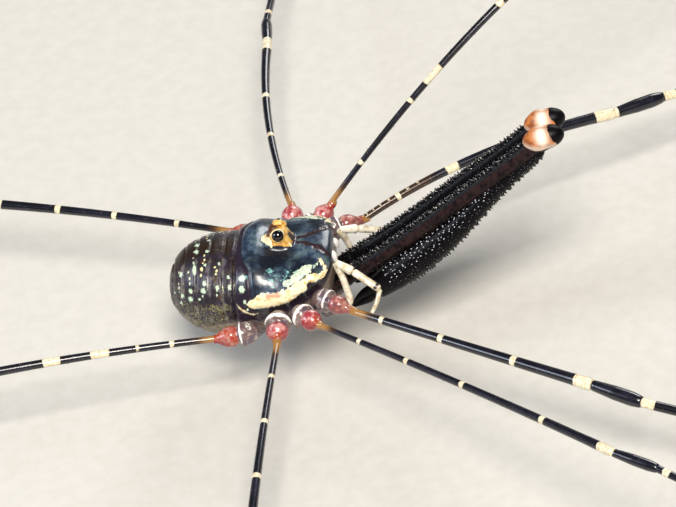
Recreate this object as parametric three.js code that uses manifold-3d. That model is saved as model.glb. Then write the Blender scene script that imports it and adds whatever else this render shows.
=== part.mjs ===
import * as THREE from "three";
import { mergeVertices } from "three/addons/utils/BufferGeometryUtils.js";
import Module from "manifold-3d";

// Long-jawed harvestman, a male, standing still on a flat floor at life size.
// Lengths are millimetres and angles are degrees. +X is forward, +Y is the animal's left
// and +Z is up. The floor is z = 0, and the eye mound stands over x = 0, y = 0. At the end
// the whole animal is shifted so that the middle of its box stands on the origin.

const wasm = await Module();
wasm.setup();

// Faces of neighbouring pieces stand this far apart.
const gap = 0.2;
const eyeGap = 0.1;

// The body is one egg-shaped form, nose up, parted by a thin cut behind the carapace. The
// carapace is squarer across than the abdomen and stands up in a hump at its rear.
const body = {
  rear: -3.88,
  front: 1.7,
  halfWidth: 2.0,
  sideHeight: 3.14,
  sideRise: 0.2,
  sideCurve: 0.04,
  backHeight: 1.42,
  backSlope: -0.9,
  backCurve: 0.2,
  bellyDepth: 1.85,
  bellyPinch: 0.3,
  humpX: -0.75,
  humpLength: 0.5,
  humpHeight: 0.24,
  squareness: 0.15,
  rearPower: 2,
  frontPower: 4,
  around: 28,
  along: 20,
};
const waist = { x: -1.1, z: 3.0, pitch: 13 };

// The eye mound carries one eye on each side.
const eyeMound = { length: 0.46, width: 0.36, height: 0.6, z: 4.56 };
const eye = { x: 0.07, y: 0.3, z: 4.9, radius: 0.24 };

// The chelicerae are two long arms side by side. The basal piece rises to the knee, and the
// second piece folds back beneath it and swells into the hand, which ends in two fingers.
const cheliceraSpread = 0.43;
const basal = {
  root: [1.2, 2.75],
  middle: [5.2, 5.14],
  knee: [8.95, 7.66],
  rootRadius: 0.24,
  radius: 0.26,
  kneeLength: 0.56,
  kneeWidth: 0.37,
  kneeHeight: 0.42,
};
const hand = {
  start: [9.15, 7.2],
  bow: [6.3, 5.03],
  palm: [3.9, 3.32],
  end: [2.75, 2.5],
  palmSpread: 0.16,
  startRadius: 0.25,
  palmRadius: 0.5,
  endRadius: 0.34,
};
const fingers = { length: 0.8, rootRadius: 0.13, tipRadius: 0.04, spacing: 0.4 };

// Denticles stud the outer faces of both pieces in rows. The angles of the rows go round a
// piece from its top outwards.
const denticle = {
  height: 0.17,
  radius: 0.085,
  root: 0.09,
  sides: 5,
  spacing: 0.48,
  jitter: 0.3,
  lean: 0.12,
};
const armRows = { angles: [-32, 8, 48, 88], first: 0.16, last: 0.92 };
const handRows = { angles: [48, 92, 136, 180], first: 0.08, last: 0.8 };

// The pedipalps stand up beside the mouth, bend at the elbow and reach out and down.
const palp = {
  root: [0.9, 0.7, 2.2],
  corner: [1.95, 1.06, 2.3],
  shoulder: [2.0, 1.06, 3.2],
  elbow: [1.85, 0.9, 4.05],
  wrist: [3.17, 1.6, 3.27],
  tip: [2.4, 1.62, 1.7],
  femurRadius: 0.22,
  patellaRadius: 0.25,
  tibiaRadius: 0.22,
  tipRadius: 0.07,
};

// Each leg pair: where the coxa leaves the belly, the middle of the trochanter, and the
// lengths of the pieces. Left and right legs of a pair have the same lengths.
const legPairs = [
  {
    coxa: [0.8, 0.75, 2.2],
    trochanter: [1.88, 2.07, 3.17],
    lengths: { femur: 9.6, patella: 1.7, tibia: 7.2, metatarsus: 9.4, tarsus: 12.5 },
  },
  {
    coxa: [0.45, 0.85, 1.95],
    trochanter: [0.88, 2.65, 3.26],
    lengths: { femur: 14.0, patella: 1.5, tibia: 13.0, metatarsus: 15.0, tarsus: 20.0 },
  },
  {
    coxa: [-0.25, 0.9, 1.8],
    trochanter: [-0.02, 2.95, 3.15],
    lengths: { femur: 9.7, patella: 1.5, tibia: 6.5, metatarsus: 9.5, tarsus: 12.0 },
  },
  {
    coxa: [-0.95, 0.9, 1.75],
    trochanter: [-1.5, 2.6, 2.88],
    lengths: { femur: 11.0, patella: 1.7, tibia: 8.5, metatarsus: 13.0, tarsus: 15.0 },
  },
];

// How each leg is held. A pair of numbers is the heading, from straight ahead outwards, and
// the climb. The femur may also bow upwards and forwards. The metatarsus runs down to the
// floor by itself, so it has only a heading, and the tarsus lies on the floor from its first
// heading round to its last.
const stances = {
  leg_1_right: { femur: [31.1, -0.6], patella: [29, -5.8], tibia: [20, -8], metatarsus: 15, tarsus: [12, -14] },
  leg_1_left: { femur: [27.4, 0.6], patella: [29, -5.8], tibia: [25, -8], metatarsus: 20, tarsus: [17, -6] },
  leg_2_right: { femur: [42.7, 5.5], patella: [30, -5], tibia: [33, -10], metatarsus: 28, tarsus: [32, 100] },
  leg_2_left: { femur: [31.4, 27.6], patella: [38, 5], tibia: [46, -28], metatarsus: 53, tarsus: [55, 5] },
  leg_3_right: { femur: [91.5, -3], patella: [94, -6], tibia: [99, -9], metatarsus: 104, tarsus: [108, 150] },
  leg_3_left: { femur: [99.8, 0.8], patella: [97, -4.5], tibia: [90, -8], metatarsus: 92, tarsus: [97, 132] },
  leg_4_right: { femur: [170.5, 2.6], patella: [166, -3], tibia: [160, -9], metatarsus: 155, tarsus: [150, 108] },
  leg_4_left: { femur: [165.1, 3.1], patella: [160, -3], tibia: [155, -9], metatarsus: 150, tarsus: [146, 112] },
};
const bows = {
  leg_1_right: { up: 0.05, forward: -0.1 },
  leg_1_left: { up: 0.43, forward: -0.35 },
  leg_2_right: { up: -0.05, forward: 0.2 },
  leg_2_left: { up: 0.78, forward: 0 },
  leg_3_right: { up: 0.2, forward: 0 },
  leg_3_left: { up: 0, forward: -0.36 },
  leg_4_right: { up: 0.2, forward: -0.08 },
  leg_4_left: { up: 0.12, forward: 0.15 },
};

// Leg pieces are octagons, a flat side down, as thick as the thinnest piece may be.
const leg = {
  sides: 8,
  coxaRadius: 0.32,
  rimRadius: 0.36,
  jointRadius: 0.26,
  trochanterRadius: 0.4,
  trochanterReach: 0.42,
  femurRadius: 0.25,
  kneeRadius: 0.3,
  radius: 0.25,
  tipRadius: 0.07,
};

// Colours of the finishes, as seen in life.
const finishes = {
  carapace: new THREE.MeshStandardMaterial({ color: "#20222c", roughness: 0.35, metalness: 0 }),
  abdomen: new THREE.MeshStandardMaterial({ color: "#33282b", roughness: 0.5, metalness: 0 }),
  eye: new THREE.MeshStandardMaterial({ color: "#08080a", roughness: 0.05, metalness: 0 }),
  chelicera: new THREE.MeshStandardMaterial({ color: "#141318", roughness: 0.3, metalness: 0 }),
  pedipalp: new THREE.MeshStandardMaterial({ color: "#e6dcc0", roughness: 0.45, metalness: 0 }),
  hip: new THREE.MeshStandardMaterial({ color: "#a8695c", roughness: 0.4, metalness: 0 }),
  leg: new THREE.MeshStandardMaterial({ color: "#1a1c24", roughness: 0.3, metalness: 0 }),
};

THREE.MathUtils.seededRandom(11);
const random = () => THREE.MathUtils.seededRandom();
const radians = THREE.MathUtils.degToRad;
const lerp = THREE.MathUtils.lerp;
const upright = new THREE.Vector3(0, 0, 1);
const sideways = new THREE.Vector3(0, 1, 0);

function vector(point, side = 1) {
  return new THREE.Vector3(point[0], side * point[1], point[2]);
}

// A unit step with the given heading and climb, on the left for side 1 and right for -1.
function step([heading, climb], side) {
  const level = Math.cos(radians(climb));
  const forward = level * Math.cos(radians(heading));
  const outward = level * Math.sin(radians(heading));
  return new THREE.Vector3(forward, side * outward, Math.sin(radians(climb)));
}

// A radius that passes smoothly through values spread evenly along a piece.
function taper(...values) {
  const curve = new THREE.SplineCurve(values.map((value) => new THREE.Vector2(value, 0)));
  return (along) => curve.getPoint(along).x;
}

// A closed solid tube along a curve that never runs the way of its reference direction.
// Where it rests, its flat underside lies on the floor.
function limb(curve, radius, sides, steps, { reference = upright, resting = false } = {}) {
  const geometry = new THREE.CylinderGeometry(1, 1, 1, sides, steps, false, Math.PI / sides);
  const points = geometry.attributes.position;
  for (let index = 0; index < points.count; index += 1) {
    const along = points.getY(index) + 0.5;
    const size = radius(along);
    const centre = curve.getPointAt(along);
    const forward = curve.getTangentAt(along);
    if (resting) {
      centre.z = size * Math.cos(Math.PI / sides);
      forward.setZ(0).normalize();
    }
    const across = forward.clone().cross(reference).normalize();
    const up = across.clone().cross(forward);
    centre.addScaledVector(across, points.getX(index) * size);
    centre.addScaledVector(up, points.getZ(index) * size);
    points.setXYZ(index, centre.x, centre.y, centre.z);
  }
  return geometry;
}

// A sine or cosine bent towards a square section by a power under 1.
function swollen(part, power) {
  return Math.sign(part) * Math.abs(part) ** power;
}

// The whole body as one form, grown outwards by the given distance.
function bodyForm(grow) {
  const geometry = new THREE.SphereGeometry(1, body.around, body.along);
  const points = geometry.attributes.position;
  const middle = (body.front + body.rear) / 2;
  const reach = (body.front - body.rear) / 2 + grow;
  for (let index = 0; index < points.count; index += 1) {
    const along = points.getY(index);
    const ring = Math.max(Math.hypot(points.getX(index), points.getZ(index)), 1e-9);
    const power = along > 0 ? body.frontPower : body.rearPower;
    const swell = Math.pow(Math.max(1 - Math.abs(along) ** power, 0), 1 / power);
    const x = middle + along * reach;
    const pastWaist = x + 1;
    const square = body.squareness * THREE.MathUtils.smoothstep(x, waist.x - 0.4, waist.x + 0.4);
    const across = swollen(-points.getX(index) / ring, 1 - square);
    const up = swollen(points.getZ(index) / ring, 1 - square);
    const sideZ = body.sideHeight + body.sideRise * pastWaist + body.sideCurve * pastWaist ** 2;
    const hump = body.humpHeight * Math.exp(-(((x - body.humpX) / body.humpLength) ** 2));
    const back = body.backHeight + body.backSlope * along + body.backCurve * along ** 2 + hump;
    const pinch = up < 0 ? 1 - body.bellyPinch * up ** 2 : 1;
    const y = across * pinch * (body.halfWidth + grow) * swell;
    const z = sideZ + up * ((up > 0 ? back : body.bellyDepth) + grow) * swell;
    points.setXYZ(index, x, y, z);
  }
  return geometry;
}

function ball(centre, radiusX, radiusY, radiusZ, around, along) {
  const geometry = new THREE.SphereGeometry(1, around, along);
  geometry.scale(radiusX, radiusY, radiusZ);
  geometry.translate(centre.x, centre.y, centre.z);
  return geometry;
}

// Cones in rows along a limb, leaning back towards its root, their own roots sunk in it.
function denticles(curve, radius, rows, side) {
  const cones = [];
  const pitch = denticle.spacing / curve.getLength();
  for (const [row, angle] of rows.angles.entries()) {
    const offset = (row % 2) / 2;
    for (let at = rows.first + offset * pitch; at < rows.last; at += pitch) {
      const along = at + (random() - 0.5) * denticle.jitter * pitch;
      const height = denticle.height * lerp(0.8, 1.15, random());
      const turn = radians(angle + lerp(-8, 8, random()));
      const forward = curve.getTangentAt(along);
      const across = new THREE.Vector3(0, side, 0);
      const up = forward.clone().cross(across).multiplyScalar(side).negate();
      const outward = up.multiplyScalar(Math.cos(turn)).addScaledVector(across, Math.sin(turn));
      const foot = radius(along) * Math.cos(Math.PI / 10) - denticle.root;
      const point = curve.getPointAt(along).addScaledVector(outward, foot);
      const direction = outward.clone().addScaledVector(forward, -denticle.lean).normalize();
      const cone = new THREE.ConeGeometry(denticle.radius, height + denticle.root, denticle.sides);
      cone.translate(0, (height + denticle.root) / 2, 0);
      cone.applyQuaternion(new THREE.Quaternion().setFromUnitVectors(sideways, direction));
      cones.push(solid(cone.translate(point.x, point.y, point.z)));
    }
  }
  return cones;
}

function solid(geometry) {
  const bare = geometry.clone();
  bare.deleteAttribute("normal");
  bare.deleteAttribute("uv");
  const merged = mergeVertices(bare, 1e-5);
  const mesh = new wasm.Mesh({
    numProp: 3,
    vertProperties: new Float32Array(merged.attributes.position.array),
    triVerts: new Uint32Array(merged.index.array),
  });
  return new wasm.Manifold(mesh);
}

// The largest closed surface of a solid, back as a geometry.
function surface(result) {
  const pieces = result.decompose();
  pieces.sort((a, b) => b.volume() - a.volume());
  const mesh = pieces[0].getMesh();
  const geometry = new THREE.BufferGeometry();
  const corners = new THREE.BufferAttribute(new Float32Array(mesh.vertProperties), 3);
  geometry.setAttribute("position", corners);
  geometry.setIndex(new THREE.BufferAttribute(new Uint32Array(mesh.triVerts), 1));
  geometry.computeVertexNormals();
  return geometry;
}

const animal = new THREE.Group();

function add(name, geometry, finish) {
  const mesh = new THREE.Mesh(geometry, finish);
  mesh.name = name;
  animal.add(mesh);
}

const sideNames = new Map([[1, "left"], [-1, "right"]]);
const clearOfBody = solid(bodyForm(gap));

function buildBody() {
  const whole = solid(bodyForm(0));
  const size = 12;
  const block = new THREE.BoxGeometry(size, size, size);
  const front = block.clone().translate(size / 2 + gap / 2, 0, 0);
  const rear = block.clone().translate(-size / 2 - gap / 2, 0, 0);
  for (const half of [front, rear]) {
    half.rotateY(radians(-waist.pitch));
    half.translate(waist.x, 0, waist.z);
  }
  const moundCentre = new THREE.Vector3(0, 0, eyeMound.z);
  const mound = ball(moundCentre, eyeMound.length, eyeMound.width, eyeMound.height, 14, 10);
  let carapace = whole.intersect(solid(front)).add(solid(mound));
  for (const [side, sideName] of sideNames) {
    const centre = vector([eye.x, eye.y, eye.z], side);
    const socketRadius = eye.radius + eyeGap;
    const socket = ball(centre, socketRadius, socketRadius, socketRadius, 12, 8);
    carapace = carapace.subtract(solid(socket));
    add(`eye_${sideName}`, ball(centre, eye.radius, eye.radius, eye.radius, 12, 8), finishes.eye);
  }
  add("carapace", surface(carapace), finishes.carapace);
  add("abdomen", surface(whole.intersect(solid(rear))), finishes.abdomen);
}

function buildChelicera(side, sideName) {
  const at = ([x, z], y) => new THREE.Vector3(x, side * y, z);
  const inner = cheliceraSpread;
  const arm = new THREE.CatmullRomCurve3([
    at(basal.root, inner),
    at(basal.middle, inner),
    at(basal.knee, inner),
  ]);
  const armRadius = taper(basal.rootRadius, basal.radius, basal.radius, basal.radius);
  const rise = Math.atan2(basal.knee[1] - basal.middle[1], basal.knee[0] - basal.middle[0]);
  const kneeAt = (grow) => {
    const { kneeLength, kneeWidth, kneeHeight } = basal;
    const knee = new THREE.SphereGeometry(1, 14, 10);
    knee.scale(kneeLength + grow, kneeWidth + grow, kneeHeight + grow);
    knee.rotateY(-rise);
    const centre = at(basal.knee, inner);
    return knee.translate(centre.x, centre.y, centre.z);
  };
  const armCones = denticles(arm, armRadius, armRows, side);
  const armParts = [solid(limb(arm, armRadius, 10, 12)), solid(kneeAt(0)), ...armCones];
  const armSolid = wasm.Manifold.union(armParts).subtract(clearOfBody);
  add(`chelicera_${sideName}_arm`, surface(armSolid), finishes.chelicera);

  const spread = inner + hand.palmSpread;
  const palm = new THREE.CatmullRomCurve3([
    at(hand.start, inner),
    at(hand.bow, inner + hand.palmSpread / 2),
    at(hand.palm, spread),
    at(hand.end, spread),
  ]);
  const slim = hand.startRadius;
  const palmRadius = taper(slim, slim * 1.05, slim * 1.3, hand.palmRadius, hand.endRadius);
  const handCones = denticles(palm, palmRadius, handRows, side);
  const handParts = [solid(limb(palm, palmRadius, 10, 14)), ...handCones];
  const handSolid = wasm.Manifold.union(handParts).subtract(solid(kneeAt(gap)));
  add(`chelicera_${sideName}_hand`, surface(handSolid), finishes.chelicera);

  const forward = palm.getTangentAt(1);
  const up = new THREE.Vector3(0, side, 0).cross(forward).normalize().multiplyScalar(side);
  for (const [fingerName, direction] of [["fixed", 1], ["moving", -1]]) {
    const offset = (direction * fingers.spacing) / 2;
    const root = palm.getPointAt(1).addScaledVector(forward, gap).addScaledVector(up, offset);
    const tip = palm.getPointAt(1).addScaledVector(forward, gap + fingers.length);
    const middle = root.clone().lerp(tip, 0.5).addScaledVector(up, offset * 0.3);
    const curve = new THREE.QuadraticBezierCurve3(root, middle, tip.addScaledVector(up, offset * 0.4));
    const fingerRadius = taper(fingers.rootRadius, fingers.rootRadius * 0.8, fingers.tipRadius);
    add(`chelicera_${sideName}_finger_${fingerName}`, limb(curve, fingerRadius, 6, 4), finishes.chelicera);
  }
}

function buildPalp(side, sideName) {
  const elbow = vector(palp.elbow, side);
  const wrist = vector(palp.wrist, side);
  const tip = vector(palp.tip, side);
  const stem = new THREE.CatmullRomCurve3([
    vector(palp.root, side),
    vector(palp.corner, side),
    vector(palp.shoulder, side),
    elbow,
  ]);
  const base = limb(stem, () => palp.femurRadius, 8, 10, { reference: sideways });
  add(`pedipalp_${sideName}_femur`, surface(solid(base).subtract(clearOfBody)), finishes.pedipalp);

  const outward = wrist.clone().sub(elbow).normalize();
  const armStart = elbow.clone().addScaledVector(outward, palp.femurRadius + gap);
  const arm = new THREE.LineCurve3(armStart, wrist);
  const armRadius = taper(palp.tibiaRadius, palp.patellaRadius, palp.tibiaRadius, palp.tibiaRadius);
  add(`pedipalp_${sideName}_tibia`, limb(arm, armRadius, 8, 5), finishes.pedipalp);

  const downward = tip.clone().sub(wrist).normalize();
  const tarsusStart = wrist.clone().addScaledVector(downward, palp.tibiaRadius + gap);
  const tarsus = new THREE.LineCurve3(tarsusStart, tip);
  const tarsusRadius = taper(palp.tibiaRadius, palp.tibiaRadius * 0.8, palp.tipRadius);
  add(`pedipalp_${sideName}_tarsus`, limb(tarsus, tarsusRadius, 8, 4), finishes.pedipalp);
}

function buildLeg(name, pair, stance, bow, side) {
  const lengths = pair.lengths;
  const coxa = vector(pair.coxa, side);
  const trochanter = vector(pair.trochanter, side);
  const femurStep = step(stance.femur, side);
  const hipEnd = trochanter.clone().addScaledVector(femurStep, leg.trochanterReach);
  const hipMiddle = coxa.clone().lerp(trochanter, 0.6);
  const hipCurve = new THREE.CatmullRomCurve3([coxa, hipMiddle, trochanter, hipEnd]);
  const { coxaRadius, rimRadius, jointRadius, trochanterRadius } = leg;
  const hipRadius = taper(coxaRadius, rimRadius, jointRadius, trochanterRadius, jointRadius);
  const hip = solid(limb(hipCurve, hipRadius, leg.sides, 12)).subtract(clearOfBody);
  add(`${name}_hip`, surface(hip), finishes.hip);

  const femurStart = hipEnd.clone().addScaledVector(femurStep, gap);
  const femurEnd = trochanter.clone().addScaledVector(femurStep, lengths.femur);
  const femurMiddle = femurStart.clone().lerp(femurEnd, 0.5);
  femurMiddle.x += 2 * bow.forward;
  femurMiddle.z += 2 * bow.up;
  const femur = new THREE.QuadraticBezierCurve3(femurStart, femurMiddle, femurEnd);
  const femurRadius = taper(leg.femurRadius, leg.femurRadius, leg.femurRadius, leg.kneeRadius);
  add(`${name}_femur`, limb(femur, femurRadius, leg.sides, 6), finishes.leg);

  const patellaStep = step(stance.patella, side);
  const tibiaStep = step(stance.tibia, side);
  const kneeStart = femurEnd.clone().addScaledVector(patellaStep, gap);
  const kneeEnd = femurEnd.clone().addScaledVector(patellaStep, lengths.patella);
  const tibiaEnd = kneeEnd.clone().addScaledVector(tibiaStep, lengths.tibia);
  const shin = new THREE.CatmullRomCurve3([kneeStart, kneeEnd, tibiaEnd]);
  const slim = leg.radius;
  const shinRadius = taper(leg.kneeRadius, leg.kneeRadius, slim, slim, slim, slim);
  add(`${name}_tibia`, limb(shin, shinRadius, leg.sides, 8), finishes.leg);

  const floorHeight = leg.radius * Math.cos(Math.PI / leg.sides);
  const drop = Math.asin((floorHeight - tibiaEnd.z) / lengths.metatarsus);
  const metatarsusStep = step([stance.metatarsus, THREE.MathUtils.radToDeg(drop)], side);
  const metatarsusStart = tibiaEnd.clone().addScaledVector(metatarsusStep, gap);
  const metatarsusEnd = tibiaEnd.clone().addScaledVector(metatarsusStep, lengths.metatarsus);
  const metatarsus = new THREE.LineCurve3(metatarsusStart, metatarsusEnd);
  add(`${name}_metatarsus`, limb(metatarsus, () => leg.radius, leg.sides, 4), finishes.leg);

  const [firstHeading, lastHeading] = stance.tarsus;
  const bends = 8;
  const tarsusPoints = [metatarsusEnd.clone().addScaledVector(step([firstHeading, 0], side), gap)];
  for (let bend = 0; bend < bends; bend += 1) {
    const heading = lerp(firstHeading, lastHeading, (bend + 0.5) / bends);
    const last = tarsusPoints.at(-1).clone();
    tarsusPoints.push(last.addScaledVector(step([heading, 0], side), lengths.tarsus / bends));
  }
  const tarsusRadius = taper(leg.radius, leg.radius * 0.95, leg.radius * 0.7, leg.tipRadius);
  const tarsusCurve = new THREE.CatmullRomCurve3(tarsusPoints);
  const tarsus = limb(tarsusCurve, tarsusRadius, leg.sides, 14, { resting: true });
  add(`${name}_tarsus`, tarsus, finishes.leg);
}

buildBody();
for (const [side, sideName] of sideNames) {
  buildChelicera(side, sideName);
  buildPalp(side, sideName);
  legPairs.forEach((pair, index) => {
    const name = `leg_${index + 1}_${sideName}`;
    buildLeg(name, pair, stances[name], bows[name], side);
  });
}

const middle = new THREE.Box3().setFromObject(animal).getCenter(new THREE.Vector3());
animal.position.set(-middle.x, -middle.y, 0);
animal.updateMatrixWorld(true);

export default animal;
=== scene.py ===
"""Dresses a life-size model of a male long-jawed harvestman standing on a studio floor.

Sizes of the animal are in millimetres in the animal's own frame: +x is forward, +y its
left, +z up, the floor at z = 0 and the eye mound over x = 0, y = 0.
"""
import math
import random

import bpy
import numpy as np
from mathutils import Matrix, Vector, noise


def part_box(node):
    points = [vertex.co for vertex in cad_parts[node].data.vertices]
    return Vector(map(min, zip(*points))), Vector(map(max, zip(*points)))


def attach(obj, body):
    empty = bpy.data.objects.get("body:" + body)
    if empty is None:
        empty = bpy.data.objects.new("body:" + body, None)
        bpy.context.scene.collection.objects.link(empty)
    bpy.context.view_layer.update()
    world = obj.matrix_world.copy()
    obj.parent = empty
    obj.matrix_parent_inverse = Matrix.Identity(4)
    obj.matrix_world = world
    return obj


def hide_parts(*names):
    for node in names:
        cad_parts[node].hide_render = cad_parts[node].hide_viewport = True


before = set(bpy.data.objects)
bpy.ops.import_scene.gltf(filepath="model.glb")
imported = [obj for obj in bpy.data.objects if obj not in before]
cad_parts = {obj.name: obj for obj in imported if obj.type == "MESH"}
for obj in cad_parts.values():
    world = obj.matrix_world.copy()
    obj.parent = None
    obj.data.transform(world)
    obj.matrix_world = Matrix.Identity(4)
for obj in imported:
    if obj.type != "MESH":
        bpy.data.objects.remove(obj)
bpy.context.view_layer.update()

bl_info = {
    "name": "Long-jawed harvestman",
    "version": (1, 0, 0),
    "blender": (4, 5, 0),
    "location": "View3D > Sidebar > Harvestman",
    "description": "Skin, spines, eyes and hairs of a life-size harvestman, with floor and light",
    "category": "Object",
}

MM = 0.001
SIDES = (("right", -1), ("left", 1))
LEG_NUMBERS = range(1, 5)

# The right eye's place in the animal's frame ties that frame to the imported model.
EYE = np.array([0.07, 0.3, 4.9])
EYE_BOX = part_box("eye_right")
ORIGIN = np.array((EYE_BOX[0] + EYE_BOX[1]) / 2) / MM - EYE * (1, -1, 1)

# The body is one egg-shaped form, squarer in front, with a hump behind the eyes.
BODY = {
    "rear": -3.88,
    "front": 1.7,
    "half_width": 2.0,
    "side_height": 3.14,
    "side_rise": 0.2,
    "side_curve": 0.04,
    "back_height": 1.42,
    "back_slope": -0.9,
    "back_curve": 0.2,
    "belly_depth": 1.85,
    "belly_pinch": 0.3,
    "hump_x": -0.75,
    "hump_length": 0.5,
    "hump_height": 0.24,
    "squareness": 0.15,
    "inset": 0.03,
}

# Where the abdomen begins, as degrees from the top and x.
WAIST_LINE = ((0, -1.34), (20, -1.38), (45, -1.41), (60, -1.46), (95, -1.5))

# Where the dark dome of the carapace ends behind, in the same way.
DOME_LINE = ((0, -1.19), (15, -1.17), (26, -1.09), (37, -0.88), (75, -0.85))

# Markings that run along the carapace: x, degrees from the top, and half the width in mm.
STRIPE = (
    (-0.84, 79, 0.17), (-0.57, 78, 0.22), (-0.29, 79, 0.2), (0.0, 80, 0.2), (0.3, 78, 0.19),
    (0.54, 75, 0.18), (0.75, 72, 0.15), (0.95, 66, 0.11), (1.17, 70, 0.08), (1.36, 78, 0.085),
    (1.49, 78, 0.08), (1.48, 59, 0.065), (1.37, 37, 0.03),
)

TEAL_RIDGE = (
    (0.3, 58, 0.09), (0.55, 54, 0.13), (0.77, 49, 0.14), (0.95, 45, 0.12), (1.08, 42, 0.08),
    (1.25, 44, 0.05),
)

PINK_RIDGE = ((-0.34, 72, 0.05), (-0.17, 71, 0.06), (0.0, 72, 0.04))

PALE_MARGIN = ((-0.65, 91, 0.03), (-0.94, 89, 0.045), (-1.21, 82, 0.045), (-1.4, 72, 0.02))

MOUND_EDGE = ((-0.47, 1, 0.06), (-0.39, 3, 0.05), (-0.3, 6.5, 0.035), (-0.17, 9, 0.025))

BROWN_LINE = ((0.4, 1, 0.04), (0.85, 4, 0.06), (1.25, 12, 0.075), (1.57, 34, 0.06))

# Spots: x, degrees from the top, and half their length and half their height in mm.
TEAL_SPOTS = (
    (-0.24, 38, 0.08, 0.07), (-0.2, 50, 0.06, 0.07), (-0.16, 59, 0.05, 0.05),
    (-0.98, 45, 0.06, 0.05), (-0.05, 44, 0.04, 0.03), (0.2, 52, 0.05, 0.04),
    (0.34, 42, 0.05, 0.03),
)

PALE_SPOTS = (
    (-1.13, 45, 0.13, 0.09), (-1.165, 57, 0.11, 0.11), (-1.115, 72, 0.06, 0.07),
    (-1.065, 82, 0.04, 0.04), (-1.6, 51.5, 0.05, 0.09), (-1.61, 40, 0.05, 0.06),
    (-1.99, 52, 0.055, 0.09), (-1.89, 25, 0.035, 0.05), (-2.02, 60, 0.03, 0.05),
    (-2.455, 55, 0.09, 0.075), (-2.4, 47, 0.07, 0.08), (-2.345, 26.5, 0.05, 0.05),
    (-2.63, 65, 0.05, 0.04), (-2.5, 61, 0.03, 0.045), (-2.3, 9, 0.05, 0.06),
    (-2.955, 66, 0.095, 0.085), (-2.9, 56, 0.08, 0.07), (-2.9, 47, 0.04, 0.05),
    (-2.72, 30.5, 0.06, 0.16), (-2.67, 6, 0.08, 0.08), (-2.75, 21.5, 0.035, 0.035),
    (-3.32, 74, 0.06, 0.06), (-3.255, 63, 0.045, 0.06), (-3.34, 58, 0.03, 0.03),
    (-3.22, 34, 0.06, 0.09), (-3.33, 52, 0.03, 0.05), (-3.55, 60, 0.04, 0.04),
)

YELLOW_SPOTS = (
    (-2.035, 29, 0.045, 0.035), (-1.975, 33, 0.045, 0.045), (-2.0, 36.5, 0.04, 0.04),
    (-2.465, 31, 0.045, 0.07), (-2.5, 38, 0.035, 0.05), (-2.42, 24, 0.035, 0.035),
    (-2.37, 20, 0.035, 0.04), (-2.38, 14.5, 0.035, 0.035), (-2.9, 41, 0.035, 0.045),
    (-2.93, 33, 0.035, 0.04), (-2.76, 15, 0.03, 0.03), (-3.33, 46, 0.03, 0.035),
    (-3.29, 29, 0.03, 0.045), (-1.44, 50, 0.016, 0.1), (-1.455, 58, 0.016, 0.1),
    (-1.83, 53, 0.016, 0.12), (-1.37, 26, 0.016, 0.08),
)

SCENT_PORE = (1.02, 80, 0.12, 0.12)
MOUND_SPOTS = ((0.4, 7, 0.05, 0.05),)

# The markings that run along the body, and how ragged their edges are.
MARKINGS = {
    "cream": (STRIPE, 1.4),
    "teal": (TEAL_RIDGE, 2),
    "pink": (PINK_RIDGE, 1),
    "margin": (PALE_MARGIN, 0.5),
    "edge": (MOUND_EDGE, 0.6),
    "brown": (BROWN_LINE, 1),
}

# How high a marking stands, and between which distances outside its edge it rises, in mm.
RAISED = (
    ("cream", 0.04, 0.07, -0.05), ("teal", 0.03, 0.06, -0.06), ("margin", 0.03, 0.05, -0.02),
    ("edge", 0.03, 0.04, -0.04), ("brown", -0.02, 0.03, -0.03),
)

# The length of one tergite, and the place in front of the waist that the rows of spots are
# counted from, in mm.
TERGITE = 0.45
FIRST_ROW = 0.28

# Folds of the flank: degrees from the top and depth in mm.
FLANK_FOLDS = ((88, 0.035), (98, 0.05), (108, 0.035), (119, 0.03))

# The eye mound: its middle, height, half its length and half its width.
MOUND = {"x": 0.03, "height": 0.56, "length": 0.38, "width": 0.4}

# Where the coxa leaves the belly, the middle of the trochanter, and the leg's piece lengths.
LEG_PAIRS = (
    ((0.8, 0.75, 2.2), (1.88, 2.07, 3.17), (9.6, 1.7, 7.2, 9.4, 12.5)),
    ((0.45, 0.85, 1.95), (0.88, 2.65, 3.26), (14.0, 1.5, 13.0, 15.0, 20.0)),
    ((-0.25, 0.9, 1.8), (-0.02, 2.95, 3.15), (9.7, 1.5, 6.5, 9.5, 12.0)),
    ((-0.95, 0.9, 1.75), (-1.5, 2.6, 2.88), (11.0, 1.7, 8.5, 13.0, 15.0)),
)

# Heading and climb in degrees of femur, patella and tibia, the heading of the metatarsus,
# the first and last heading of the tarsus, and the bow of the femur upwards and forwards.
STANCES = {
    "leg_1_right": ((31.1, -0.6), (29, -5.8), (20, -8), 15, (12, -14), (0.05, -0.1)),
    "leg_1_left": ((27.4, 0.6), (29, -5.8), (25, -8), 20, (17, -6), (0.43, -0.35)),
    "leg_2_right": ((42.7, 5.5), (30, -5), (33, -10), 28, (32, 100), (-0.05, 0.2)),
    "leg_2_left": ((31.4, 27.6), (38, 5), (46, -28), 53, (55, 5), (0.78, 0)),
    "leg_3_right": ((91.5, -3), (94, -6), (99, -9), 104, (108, 150), (0.2, 0)),
    "leg_3_left": ((99.8, 0.8), (97, -4.5), (90, -8), 92, (97, 132), (0, -0.36)),
    "leg_4_right": ((170.5, 2.6), (166, -3), (160, -9), 155, (150, 108), (0.2, -0.08)),
    "leg_4_left": ((165.1, 3.1), (160, -3), (155, -9), 150, (146, 112), (0.12, 0.15)),
}

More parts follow.
